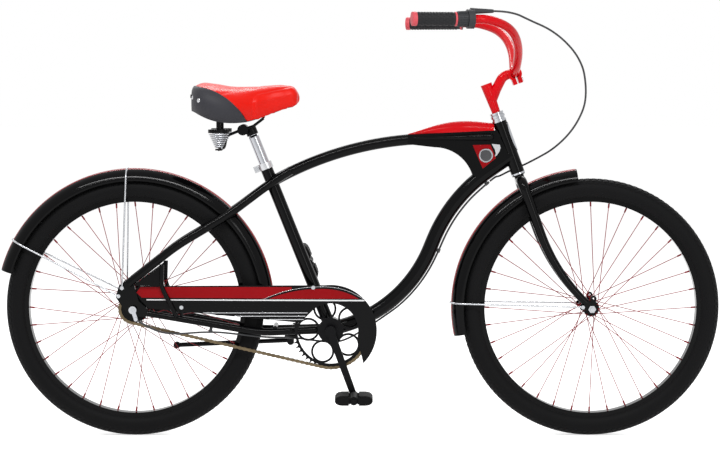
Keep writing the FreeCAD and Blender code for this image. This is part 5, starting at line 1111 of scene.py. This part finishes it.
@dataclass
class TankBadges:
    """Red panel and plain disc on each side of the tank, and the head tube's strip, in millimetres."""

    half_width: float = 17.5
    sunk: float = 0.3
    proud: float = 0.8
    panel: tuple[Flat, ...] = ((-83.0, -24.0), (-37.0, -23.0), (-23.0, -58.0), (-57.0, -85.0))
    panel_edge: float = 0.4
    crescent: tuple[Flat, ...] = (
        (-34.0, -21.0), (-13.0, -23.0), (-11.0, -31.0), (-13.5, -40.0), (-20.0, -50.0), (-26.0, -54.5),
        (-23.5, -46.0), (-25.5, -36.0),
    )
    crescent_edge: float = 0.3
    disc: Point = (-48.5, 0.0, -51.0)
    rim: tuple[Flat, ...] = ((14.6, -0.4), (18.0, -0.4), (18.0, 1.0), (17.2, 1.7), (15.4, 1.7), (14.6, 1.0))
    dish: tuple[Flat, ...] = ((AXIS, -0.4), (15.0, -0.4), (15.0, 0.9), (9.0, 1.3), (AXIS, 1.6))
    head_radius: float = 18.0
    strip_span: Flat = (448.0, 526.0)
    strip_half: float = 14.0
    strip_lifts: Flat = (2.2, -0.2)
    strip_droop: float = 0.5
    strip_taper: float = 0.55
    strip_power: int = 3
    strip_rows: int = 18
    strip_cells: int = 7

    def build(self) -> None:
        """Make the panel, disc and strip pieces."""
        origin = LAYOUT.tank_origin()
        for side, word in SIDES.items():
            across = Vector((0, side, 0))
            depth = side * (self.half_width - self.sunk) * MM, side * (self.half_width + self.proud) * MM
            centre = origin + Vector(self.disc) * MM + across * abs(depth[1])
            panel = plate(f"tank_panel_{word}", self.panel, origin, depth, DEEP_RED, self.panel_edge)
            settle(panel, Body.FRAME, Slot.RED_PAINT)
            for piece in (
                plate(f"tank_crescent_{word}", self.crescent, origin, depth, ALLOY, self.crescent_edge),
                revolved(f"tank_disc_rim_{word}", self.rim, centre, across, CHROME),
                revolved(f"tank_disc_face_{word}", self.dish, centre, across, DARK_ENAMEL),
            ):
                settle(piece, Body.FRAME, Slot.BADGE)
        settle(self.strip(), Body.FRAME, Slot.BADGE, "badges")

    def strip(self) -> bpy.types.Object:
        """Curved chrome strip on the front of the head tube, narrower at its ends.

        Returns:
            The strip as a thin closed band.
        """
        points = []
        for lift in self.strip_lifts:
            for share in np.linspace(0, 1, self.strip_rows):
                low, high = self.strip_span
                along = (low + (high - low) * share) * MM
                half = self.strip_half * (1 - self.strip_taper * abs(2 * share - 1) ** self.strip_power)
                for lean in np.linspace(-1, 1, self.strip_cells):
                    turn = lean * half / self.head_radius
                    reach = (self.head_radius + lift - self.strip_droop * abs(lean)) * MM
                    point = LAYOUT.steer(along, reach * math.cos(turn))
                    points.append(point + Vector((0, reach * math.sin(turn), 0)))
        return smooth(mesh_object("head_strip", points, banded(self.strip_rows, self.strip_cells), CHROME))


@dataclass
class Handlebar:
    """Swept-back handlebar as one smooth bend on each side of the stem.

    The shape gives control points ahead of, beside and above the clamp, as shares of sweep, width and rise.
    """

    radius: float = 11.1 * MM
    half_width: float = 0.33
    sweep: float = 0.268
    rise: float = 0.135
    shape: tuple[Point, ...] = (
        (0.0, 0.09, 0.0), (0.015, 0.394, 0.46), (-0.075, 0.697, 0.83), (-0.291, 0.8746, 1.0),
        (-0.45, 0.9027, 1.0), (-1.0, 1.0, 1.0),
    )
    per_point: int = 20
    sides: int = 32

    def spot(self, side: int, ahead: float, across: float, rise: float) -> Vector:
        """Point by the bar, from shares of its sweep, half width and rise, on the right for -1."""
        spot = ahead * self.sweep, side * across * self.half_width, rise * self.rise
        return LAYOUT.bar_clamp + Vector(spot)

    def build(self) -> None:
        """Bend the bar from its left end to its right."""
        route = [self.spot(1, *place) for place in reversed(self.shape)]
        route += [self.spot(-1, *place) for place in self.shape]
        line = spline_points(route, self.per_point)
        bar = tube_along("handlebar_tube", line, self.radius, RED_ENAMEL, self.sides)
        settle(bar, Body.STEERING, Slot.RED_PAINT, "handlebar")


@dataclass
class Grips:
    """Pads and coloured rings on the two grips, and the ridges of the twist barrel, in millimetres."""

    bar: Handlebar = field(default_factory=Handlebar)
    inner_spot: Point = (-0.231, 0.864, 1.0)
    radius: float = 16.0
    lengths: dict[int, float] = field(default_factory=lambda: {-1: 108.0, 1: 150.0})
    ring_root: float = 1.5
    ring_soft: float = 0.8
    # Where each ring starts and ends, from the bar's end or the grip's, and its height over the grip
    end_ring: Point = (-4.6, 7.0, 1.4)
    inner_ring: Point = (-5.2, -0.2, 1.6)
    cap: tuple[Flat, ...] = ((AXIS, -3.6), (16.2, -3.6), (16.2, -4.6), (14.5, -5.2), (AXIS, -5.4))
    pads: int = 12
    pad_first: float = 12.5
    pad_pitch: float = 7.5
    pad_clear: float = 18.0
    pad_half: float = 3.0
    pad_half_angle: float = 0.2
    # Height of a pad's foot and top over the grip, and their share of its size
    pad_ends: tuple[Flat, Flat] = ((-0.8, 1.0), (1.1, 0.74))
    ridges: int = 22
    barrel_ends: tuple[Flat, Flat] = ((111.0, 18.3), (132.0, 19.3))
    ridge_section: tuple[Flat, ...] = ((-0.085, -0.8), (-0.05, 0.9), (0.05, 0.9), (0.085, -0.8))

    def end(self, side: int) -> tuple[Vector, Vector]:
        """Bar end and the direction inwards along the grip.

        Args:
            side: Right for -1 and left for 1.

        Returns:
            The end's middle in the row frame and a unit vector.
        """
        tip = self.bar.spot(side, *self.bar.shape[-1])
        return tip, (self.bar.spot(side, *self.inner_spot) - tip).normalized()

    def ring(self, name: str, side: int, start: float, end: float, proud: float) -> bpy.types.Object:
        """Rounded rubber ring on a grip.

        Args:
            name: Name of the ring.
            side: Right for -1 and left for 1.
            start: Where it starts, from the bar's end.
            end: Where it ends.
            proud: Height over the grip.

        Returns:
            The ring.
        """
        soft = min(self.ring_soft, (end - start) / 3)
        root, top = self.radius - self.ring_root, self.radius + proud
        profile = [(root, start), (top - soft, start), (top, start + soft)]
        profile += [(top, end - soft), (top - soft, end), (root, end)]
        return revolved(name, profile, *self.end(side), RING_RUBBER)

    def build(self) -> None:
        """Make the rings, end caps and pads of both grips, then the barrel's ridges."""
        for side, word in SIDES.items():
            length = self.lengths[side]
            start, stop, proud = self.inner_ring
            for piece in (
                self.ring(f"grip_end_ring_{word}", side, *self.end_ring),
                self.ring(f"grip_inner_ring_{word}", side, length + start, length + stop, proud),
                revolved(f"grip_cap_{word}", self.cap, *self.end(side), RING_RUBBER),
                self.ribs(f"grip_ribs_{word}", side, length),
            ):
                settle(piece, Body.STEERING, Slot.GRIP)
        settle(self.barrel_ridges(), Body.TWIST_GRIP, Slot.SHIFTER)

    def ribs(self, name: str, side: int, length: float) -> bpy.types.Object:
        """Rows of small raised pads round a grip.

        Args:
            name: Name of the piece.
            side: Right for -1 and left for 1.
            length: Length of the grip.

        Returns:
            All the pads as one mesh.
        """
        tip, inward = self.end(side)
        first, second = basis(inward)
        points: list[Vector] = []
        faces: list[Face] = []
        for row in range(int((length - self.pad_clear) / self.pad_pitch)):
            middle = self.pad_first + self.pad_pitch * row
            for pad in range(self.pads):
                turn = 2 * math.pi * (pad + (row % 2) / 2) / self.pads
                ends = []
                for lift, share in self.pad_ends:
                    corners = []
                    for along, across in BLOCK_CORNERS:
                        outward = around(first, second, turn + across * self.pad_half_angle * share)
                        place = tip + inward * ((middle + along * self.pad_half * share) * MM)
                        corners.append(place + outward * ((self.radius + lift) * MM))
                    ends.append(corners)
                add_solid(points, faces, *ends)
        return mesh_object(name, points, faces, GRIP_RUBBER)

    def barrel_ridges(self) -> bpy.types.Object:
        """Lengthwise ridges round the twist barrel.

        Returns:
            All the ridges as one mesh.
        """
        tip, inward = self.end(-1)
        first, second = basis(inward)
        points: list[Vector] = []
        faces: list[Face] = []
        for ridge in range(self.ridges):
            turn = 2 * math.pi * ridge / self.ridges
            ends = []
            for along, radius in self.barrel_ends:
                foot = tip + inward * (along * MM)
                ends.append([
                    foot + around(first, second, turn + across) * ((radius + lift) * MM)
                    for across, lift in self.ridge_section
                ])
            add_solid(points, faces, *ends)
        return mesh_object("twist_barrel_ridges", points, faces, SHIFTER_ABS)


def surface_of(piece: bpy.types.Object) -> BVHTree:
    """Search tree over a piece's surface, for rays."""
    return BVHTree.FromObject(piece, bpy.context.evaluated_depsgraph_get())


@dataclass
class Saddle:
    """Padded saddle cushion, formed as cloth over foam, with its side seams and rivet caps.

    Sizes are in millimetres from the seat post's top. Each section gives a place along the saddle, a share
    of the half width, the height of the foot and a share of the crown's height.
    """

    half_width: float = 120.0
    crown: float = 102.0
    sections: tuple[tuple[float, float, float, float], ...] = (
        (-149.0, 0.40, 52.0, 0.92),
        (-145.0, 0.58, 40.0, 0.98),
        (-126.0, 0.86, 32.0, 1.10),
        (-90.0, 1.00, 17.0, 1.08),
        (-42.0, 0.90, 10.0, 0.99),
        (5.0, 0.62, 14.0, 1.00),
        (50.0, 0.42, 31.0, 1.04),
        (95.0, 0.31, 47.0, 1.05),
        (121.0, 0.22, 56.0, 0.96),
        (130.0, 0.10, 64.0, 0.80),
    )
    outline: tuple[Flat, ...] = ((0.86, 0.0), (1.0, 0.45), (0.78, 0.86), (0.0, 1.0))
    rings: int = 46
    per_span: int = 5
    shrink: float = 2.0
    voxel: float = 5.0
    skirt_edge: tuple[Flat, Flat, Flat] = ((-168.0, 103.0), (-54.0, 74.0), (2.0, 0.0))
    skirt_margin: float = 2.0
    no_skirt: float = -1000.0
    held_span: Flat = (-145.0, 128.0)
    held_margin: float = 6.0
    cloth_quality: int = 6
    cloth_mass: float = 0.25
    pressure: float = 4.0
    cap: float = 6.0
    frames: int = 20
    fill: float = 0.85
    tuck: float = 4.0
    tuck_run: float = 4.0
    pad: float = 3.2
    pad_span: Flat = (13.0, 126.0)
    pad_top: float = 20.0
    pad_corner: float = 14.0
    pad_run: float = 9.0
    pad_facing: Flat = (0.2, 0.3)
    # Depth of the groove round the pad, its distance outside the pad and its width
    groove: Point = (0.7, 1.5, 2.2)
    ridge: float = 1.6
    ridge_width: float = 9.0
    heart: float = -95.0
    shell_gap: float = 0.8
    underside: float = -0.75
    ray_start: float = 0.3
    seam: tuple[Flat, ...] = ((10.0, 61.0), (40.0, 66.5), (80.0, 75.0), (112.0, 81.5))
    seam_radius: float = 0.7
    seam_sink: float = 0.3
    seam_steps: int = 12
    seam_sides: int = 8
    rivets: tuple[Flat, ...] = ((-124.0, 68.0), (-141.0, 75.0))
    rivet_dome: tuple[Flat, ...] = (
        (AXIS, -1.0), (5.2, -1.0), (5.2, 0.5), (4.42, 1.2), (2.6, 1.8), (AXIS, 2.0),
    )
    rivet_steps: int = 32

    def local(self, point: Vector) -> Vector:
        """Point in millimetres from the seat post's top."""
        return (point - LAYOUT.saddle) / MM

    def section(self, x: float) -> tuple[float, float, float]:
        """Size of the cushion at a place along it, on a smooth curve through the sections.

        Args:
            x: Place along the saddle.

        Returns:
            Half width, foot and top.
        """
        table = np.array(self.sections)
        slopes = np.gradient(table[:, 1:], table[:, 0], axis=0)
        index = int(np.clip(np.searchsorted(table[:, 0], x) - 1, 0, len(table) - 2))
        span = table[index + 1, 0] - table[index, 0]
        t = (x - table[index, 0]) / span
        first, last = table[index, 1:], table[index + 1, 1:]
        share, foot, top = (
            first * (2 * t**3 - 3 * t**2 + 1)
            + slopes[index] * span * (t**3 - 2 * t**2 + t)
            + last * (3 * t**2 - 2 * t**3)
            + slopes[index + 1] * span * (t**3 - t**2)
        )
        return share * self.half_width, foot, top * self.crown

    def skirt_height(self, x: float) -> float:
        """Height of the skirt's upper edge, an arc through three points.

        Args:
            x: Place along the saddle.

        Returns:
            The height, or one far below the saddle ahead of the skirt.
        """
        (x1, z1), (x2, z2), (x3, z3) = self.skirt_edge
        if x >= x3:
            return self.no_skirt
        a = np.array([[2 * (x2 - x1), 2 * (z2 - z1)], [2 * (x3 - x1), 2 * (z3 - z1)]])
        b = np.array([x2**2 - x1**2 + z2**2 - z1**2, x3**2 - x1**2 + z3**2 - z1**2])
        cx, cz = np.linalg.solve(a, b)
        radius = math.hypot(x1 - cx, z1 - cz)
        return float(cz + math.sqrt(max(radius**2 - (x - cx) ** 2, 0.0)))

    def ring(self, x: float) -> list[Vector]:
        """Closed outline of the cushion, a little small for the padding to fill.

        Args:
            x: Place along the saddle.

        Returns:
            Points in the row frame.
        """
        half, foot, top = self.section(x)
        half, top = half - self.shrink, top - self.shrink
        high = [(w * half, foot + h * (top - foot)) for w, h in self.outline]
        arc = high + [(-w, h) for w, h in reversed(high[:-1])]
        return [LAYOUT.saddle + Vector((x, y, z)) * MM for y, z in spline_through(arc, self.per_span)]

    def form(self) -> bpy.types.Object:
        """Loft the cushion from its outlines and remesh it evenly.

        Returns:
            The cushion before it is filled.
        """
        places = np.linspace(self.sections[0][0], self.sections[-1][0], self.rings)
        rings = [self.ring(x) for x in places]
        points = [point for ring in rings for point in ring]
        piece = mesh_object("saddle_padding", points, capped(self.rings, len(rings[0])), SADDLE_VINYL)
        return applied(piece, "REMESH", mode="VOXEL", voxel_size=self.voxel * MM, use_smooth_shade=True)

    def inflate(self, piece: bpy.types.Object) -> None:
        """Fill the cover with air pressure as cloth and keep the result.

        Args:
            piece: Cushion, which is held where the shell carries it.
        """
        rest = np.array([vertex.co for vertex in piece.data.vertices])
        held = piece.vertex_groups.new(name="held")
        for vertex in piece.data.vertices:
            x, _, z = self.local(vertex.co)
            foot = self.section(float(np.clip(x, *self.held_span)))[1]
            if z < max(foot + self.held_margin, self.skirt_height(x) - self.held_margin):
                held.add([vertex.index], 1.0, "REPLACE")
        cloth = piece.modifiers.new("padding", "CLOTH")
        cloth.settings.quality = self.cloth_quality
        cloth.settings.mass = self.cloth_mass
        cloth.settings.use_pressure = True
        cloth.settings.uniform_pressure_force = self.pressure
        cloth.settings.vertex_group_mass = held.name
        cloth.settings.effector_weights.gravity = 0
        cloth.point_cache.frame_start = 1
        cloth.point_cache.frame_end = self.frames
        scene = bpy.context.scene
        for step in range(1, self.frames + 1):
            scene.frame_set(step)
        shaped = piece.evaluated_get(bpy.context.evaluated_depsgraph_get()).data
        moved = np.array([vertex.co for vertex in shaped.vertices]) - rest
        piece.modifiers.remove(cloth)
        piece.vertex_groups.clear()
        length = np.linalg.norm(moved, axis=1, keepdims=True)
        moved *= np.minimum(1.0, self.cap * MM / np.maximum(length, np.finfo(float).eps))
        piece.data.vertices.foreach_set("co", (rest + moved).ravel())
        scene.frame_set(1)
        log.info("saddle padding moved up to %.1f mm", float(length.max()) / MM)

    def sew(self, piece: bpy.types.Object) -> None:
        """Tuck the cover under the skirt's edge and raise the sewn pad and its ridge beside the nose.

        Args:
            piece: Filled cushion.
        """
        line = np.array(self.seam)
        depth, place, width = self.groove
        facing, facing_run = self.pad_facing
        for vertex, normal in zip(piece.data.vertices, [v.normal.copy() for v in piece.data.vertices]):
            x, _, z = self.local(vertex.co)
            tuck = self.tuck * float(np.clip((self.skirt_height(x) - z) / self.tuck_run, 0, 1))
            height = float(np.interp(x, line[:, 0], line[:, 1]))
            beyond = max(self.pad_span[0] + self.pad_corner - x, x + self.pad_corner - self.pad_span[1], 0.0)
            above = max(z + self.pad_corner - height - self.pad_top, 0.0)
            inside = self.pad_corner - math.hypot(beyond, above)
            side = float(np.clip((abs(normal.y) - facing) / facing_run, 0, 1))
            share = float(np.clip(inside / self.pad_run, 0, 1))
            lift = self.pad * share * (2 - share) - depth * math.exp(-((inside + place) / width) ** 2)
            crest = self.ridge * max(0.0, 1 - abs(z - height) / self.ridge_width) if inside > 0 else 0.0
            vertex.co += normal * ((lift + crest) * side - tuck) * MM

    def draw_in(self, piece: bpy.types.Object) -> None:
        """Keep the cover inside the shell wherever it hangs below the skirt's edge.

        Args:
            piece: Sewn cushion.
        """
        shell = surface_of(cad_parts["saddle_base"])
        for vertex in piece.data.vertices:
            x, _, z = self.local(vertex.co)
            if z > self.skirt_height(x) - self.skirt_margin:
                continue
            heart = LAYOUT.saddle + Vector((max(x, self.heart), 0, z)) * MM
            reach = vertex.co - heart
            room = shell.ray_cast(heart, reach.normalized())[3]
            if room is not None and room - self.shell_gap * MM < reach.length:
                vertex.co = heart + reach.normalized() * (room - self.shell_gap * MM)

    def line_underside(self, piece: bpy.types.Object) -> None:
        """Cover the part inside the skirt and the flat underside with the skirt's dark vinyl.

        Args:
            piece: Sewn cushion.
        """
        piece.data.materials.append(SKIRT_VINYL.material())
        for face in piece.data.polygons:
            x, _, z = self.local(face.center)
            if z < self.skirt_height(x) - self.skirt_margin or face.normal.z < self.underside:
                face.material_index = 1

    def piping(self, piece: bpy.types.Object, side: int) -> bpy.types.Object:
        """Thin piping that lies in a side seam.

        Args:
            piece: Finished cushion.
            side: Right for -1 and left for 1.

        Returns:
            The piping as a tube on the cushion's surface.
        """
        cover = surface_of(piece)
        line = []
        for x, _, z in spline_points([(x * MM, 0.0, z * MM) for x, z in self.seam], self.seam_steps):
            start = LAYOUT.saddle + Vector((x, side * self.ray_start, z))
            hit = cover.ray_cast(start, Vector((0, -side, 0)))[0]
            if hit is not None:
                line.append(hit + Vector((0, -side * self.seam_sink * MM, 0)))
        name = f"saddle_piping_{SIDES[side]}"
        return tube_along(name, line, self.seam_radius * MM, SADDLE_VINYL, self.seam_sides)

    def rivet(self, number: int, place: Flat, side: int) -> bpy.types.Object:
        """Domed rivet cap that lies flat on the skirt.

        Args:
            number: Number of the rivet on its side.
            place: Place along the saddle and height.
            side: Right for -1 and left for 1.

        Returns:
            The cap.
        """
        shell = surface_of(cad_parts["saddle_base"])
        start = LAYOUT.saddle + Vector((place[0] * MM, side * self.ray_start, place[1] * MM))
        point, normal, _, _ = shell.ray_cast(start, Vector((0, -side, 0)))
        if normal.y * side < 0:
            normal = -normal
        name = f"saddle_rivet_{SIDES[side]}_{number}"
        return revolved(name, self.rivet_dome, point, normal, ALLOY, self.rivet_steps)

    def build(self) -> None:
        """Make the cushion, its piping and the skirt's rivet caps."""
        piece = self.form()
        self.inflate(piece)
        piece = applied(piece, "SUBSURF", levels=1)
        self.sew(piece)
        self.draw_in(piece)
        self.line_underside(piece)
        piece.name = "saddle_padding"
        smooth(piece, degrees=180.0)
        settle(piece, Body.SADDLE_TOP, Slot.VINYL, "saddle_cushion")
        for side in SIDES:
            settle(self.piping(piece, side), Body.SADDLE_TOP, Slot.VINYL)
            for number, place in enumerate(self.rivets):
                settle(self.rivet(number, place, side), Body.SADDLE_TOP, Slot.BADGE)


@dataclass
class SaddleSprings:
    """Two conical coil springs under the saddle's wide rear, in millimetres from the seat post's top."""

    place: Flat = (-76.0, 62.0)
    low: float = -54.0
    high: float = -18.0
    low_radius: float = 8.0
    high_radius: float = 25.0
    turns: float = 7.0
    wire: float = 1.9
    steps: int = 220
    sides: int = 10

    def build(self) -> None:
        """Wind both springs between the seat post and the saddle."""
        for side, word in SIDES.items():
            x, y = self.place[0], side * self.place[1]
            line = []
            for share in np.linspace(0, 1, self.steps):
                turn = 2 * math.pi * self.turns * share
                radius = self.low_radius + (self.high_radius - self.low_radius) * share
                height = self.low + (self.high - self.low) * share
                spot = Vector((x + radius * math.cos(turn), y + radius * math.sin(turn), height))
                line.append(LAYOUT.saddle + spot * MM)
            piece = tube_along(f"saddle_spring_{word}", line, self.wire * MM, CHROME, self.sides)
            flex(piece, "saddle_springs")


@dataclass
class ShiftCable:
    """Shift cable, in millimetres: a free loop ahead of the bars, then a run on the frame to the bell crank.

    The loop is measured from where the top tube meets the steering axis, and the part along the stay from
    the bottom bracket.
    """

    radius: float = 2.5
    nose: Point = (326.8, -287.3, 1092.5)
    inward: Point = (0.9771, 0.2128, 0.0)
    leads: Flat = (0.2, 46.0)
    loop: tuple[Point, ...] = (
        (50.0, -270.0, 289.0), (89.0, -255.0, 273.0), (122.5, -240.0, 251.0), (153.0, -220.0, 223.0),
        (174.5, -200.0, 194.0), (188.8, -180.0, 162.0), (196.5, -150.0, 107.0), (190.9, -125.0, 64.7),
        (165.3, -85.0, 11.8), (123.0, -45.0, -33.6), (76.5, 5.0, -63.4), (48.0, 24.0, -79.0),
        (16.0, 27.0, -92.0), (-14.0, 15.0, -107.0),
    )
    join: tuple[Point, ...] = ((351.3, 0.0, 673.4), (336.2, 0.0, 660.6))
    tube: tuple[Point, ...] = (
        (334.5, 0.0, 659.2), (300.7, 0.0, 630.5), (270.6, 0.0, 598.1), (244.5, 0.0, 562.3),
        (222.7, 0.0, 523.7), (204.7, 0.0, 481.8), (183.3, 0.0, 436.6), (155.8, 0.0, 394.5),
        (122.9, 0.0, 356.6), (84.9, 0.0, 323.3),
    )
    stay: tuple[Point, ...] = (
        (43.0, 0.0, -31.0), (-2.0, 0.0, -36.0), (-47.0, -8.0, -30.0), (-97.0, -30.0, -20.0),
        (-167.0, -39.0, -19.0), (-237.0, -45.0, -10.0), (-310.0, -49.0, -2.0), (-411.0, -62.0, -9.0),
        (-462.0, -74.0, 6.0),
    )
    pin: Point = (-575.3, -77.8, 309.5)

    def cord(self, name: str, route: list[Vector]) -> bpy.types.Object:
        """Cable jacket along a smooth spline with the route's points as its controls."""
        return tube_along(name, spline_points(route), self.radius * MM, CABLE_PVC)

    def build(self) -> None:
        """Make the loop ahead of the bars and the run on the frame."""
        route = [(Vector(self.nose) + Vector(self.inward) * lead) * MM for lead in self.leads]
        route += [LAYOUT.tank_origin() + Vector(point) * MM for point in self.loop]
        route += [Vector(point) * MM for point in self.join]
        loop = self.cord("shift_cable_free_loop", route)
        flex(loop, "shift_cable_loop")
        route = [Vector(point) * MM for point in self.tube]
        route += [LAYOUT.bracket + Vector(point) * MM for point in self.stay]
        route.append(Vector(self.pin) * MM)
        run = self.cord("shift_cable_frame_run", route)
        settle(run, Body.FRAME, Slot.SHIFTER, "shift_cable_run")


def show(
    tree: bpy.types.NodeTree, output: str, dull: bpy.types.NodeSocket, seen: bpy.types.NodeSocket
) -> None:
    """Show one shader to the camera, off gloss and through clear parts, and another to dull surfaces.

    Args:
        tree: Node tree of the floor or the world.
        output: Type of the tree's output node.
        dull: Shader for light on its way to dull surfaces.
        seen: Shader that the eye meets.
    """
    path = add_node(tree, "ShaderNodeLightPath").outputs
    rays = path["Is Camera Ray"]
    for kind in ("Is Glossy Ray", "Is Transmission Ray"):
        rays = add_node(tree, "ShaderNodeMath", {0: rays, 1: path[kind]}, operation="MAXIMUM").outputs[0]
    mixed = add_node(tree, "ShaderNodeMixShader", {0: rays, 1: dull, 2: seen})
    add_node(tree, output, {"Surface": mixed.outputs[0]})


@dataclass
class Studio:
    """Camera, pale floor, soft lamps and white world, in metres and watts."""

    camera: Point = (0.0, -5.985, 0.96)
    camera_aim: Point = (0.0, 0.0, 0.543)
    focal: float = 115.7
    sensor: float = 36.0
    lamps: tuple[tuple[str, Point, Flat, float], ...] = (
        ("key_lamp", (-0.6, -3.2, 3.9), (4.6, 0.18), 125.0),
        ("fill_lamp", (2.6, -4.2, 1.7), (0.6, 2.4), 30.0),
        ("back_lamp", (0.2, 3.0, 3.4), (4.6, 0.5), 75.0),
    )
    lamp_aim: Point = (0.0, 0.0, 0.5)
    white: str = "#FFFFFF"
    paper: str = "#F4F4F4"
    floor_half: float = 30.0
    floor_drop: float = 0.6 * MM
    floor_glow: float = 0.56
    world_light: float = 0.5
    world_seen: float = 1.0

    def hang(self, data: bpy.types.ID, place: Point, aim: Point) -> bpy.types.Object:
        """Put a camera or lamp in its place, turned to look at a point.

        Args:
            data: Camera or light, which gives the object its name.
            place: Where it hangs.
            aim: Point that it looks at.

        Returns:
            The linked object.
        """
        thing = bpy.data.objects.new(data.name, data)
        thing.location = place
        thing.rotation_euler = (Vector(aim) - Vector(place)).to_track_quat("-Z", "Y").to_euler()
        bpy.context.scene.collection.objects.link(thing)
        return thing

    def build(self) -> None:
        """Set up the camera, floor, lamps and world."""
        scene = bpy.context.scene
        scene.view_settings.view_transform = "Standard"
        data = bpy.data.cameras.new("camera")
        data.lens = self.focal
        data.sensor_width = self.sensor
        scene.camera = self.hang(data, self.camera, self.camera_aim)
        self.lay_floor()
        for name, place, size, power in self.lamps:
            data = bpy.data.lights.new(name, "AREA")
            data.shape = "RECTANGLE"
            data.size, data.size_y = size
            data.energy = power
            self.hang(data, place, self.lamp_aim)
        self.fill_world()

    def lay_floor(self) -> None:
        """Lay matt paper that looks white and keeps the bicycle's shadow."""
        mesh = bpy.data.meshes.new("floor")
        corners = [(x * self.floor_half, y * self.floor_half, 0) for x, y in BLOCK_CORNERS]
        mesh.from_pydata(corners, [], [tuple(range(len(corners)))])
        floor = bpy.data.objects.new("floor", mesh)
        floor.location.z = -self.floor_drop
        bpy.context.scene.collection.objects.link(floor)
        material = bpy.data.materials.new("floor_paper_matt")
        material.use_nodes = True
        tree = material.node_tree
        tree.nodes.clear()
        paper = add_node(tree, "ShaderNodeBsdfDiffuse", Color=linear(self.paper)).outputs[0]
        glow = add_node(tree, "ShaderNodeEmission", Color=linear(self.white), Strength=self.floor_glow)
        bright = add_node(tree, "ShaderNodeAddShader", {0: paper, 1: glow.outputs[0]})
        show(tree, "ShaderNodeOutputMaterial", paper, bright.outputs[0])
        mesh.materials.append(material)

    def fill_world(self) -> None:
        """White surroundings to the camera and in reflections, with a plain level of light."""
        world = bpy.data.worlds.new("studio")
        bpy.context.scene.world = world
        world.use_nodes = True
        tree = world.node_tree
        tree.nodes.clear()
        white = linear(self.white)
        light = add_node(tree, "ShaderNodeBackground", Color=white, Strength=self.world_light)
        seen = add_node(tree, "ShaderNodeBackground", Color=white, Strength=self.world_seen)
        show(tree, "ShaderNodeOutputWorld", light.outputs[0], seen.outputs[0])


def main() -> None:
    """Dress the CAD nodes, then build every sub-assembly and the studio."""
    logging.basicConfig(level=logging.INFO, format="%(message)s")
    dress_nodes()
    for part in (Tread, FenderStripe, FenderBead):
        for end in WHEEL_ENDS:
            part(end).build()
    for body in (Body.PEDAL_RIGHT, Body.PEDAL_LEFT):
        Pedal(body).build()
    for part in (Chain, ChainGuard, TankBadges, Handlebar, Grips, Saddle, SaddleSprings, ShiftCable, Studio):
        part().build()


if __name__ == "__main__":
    main()
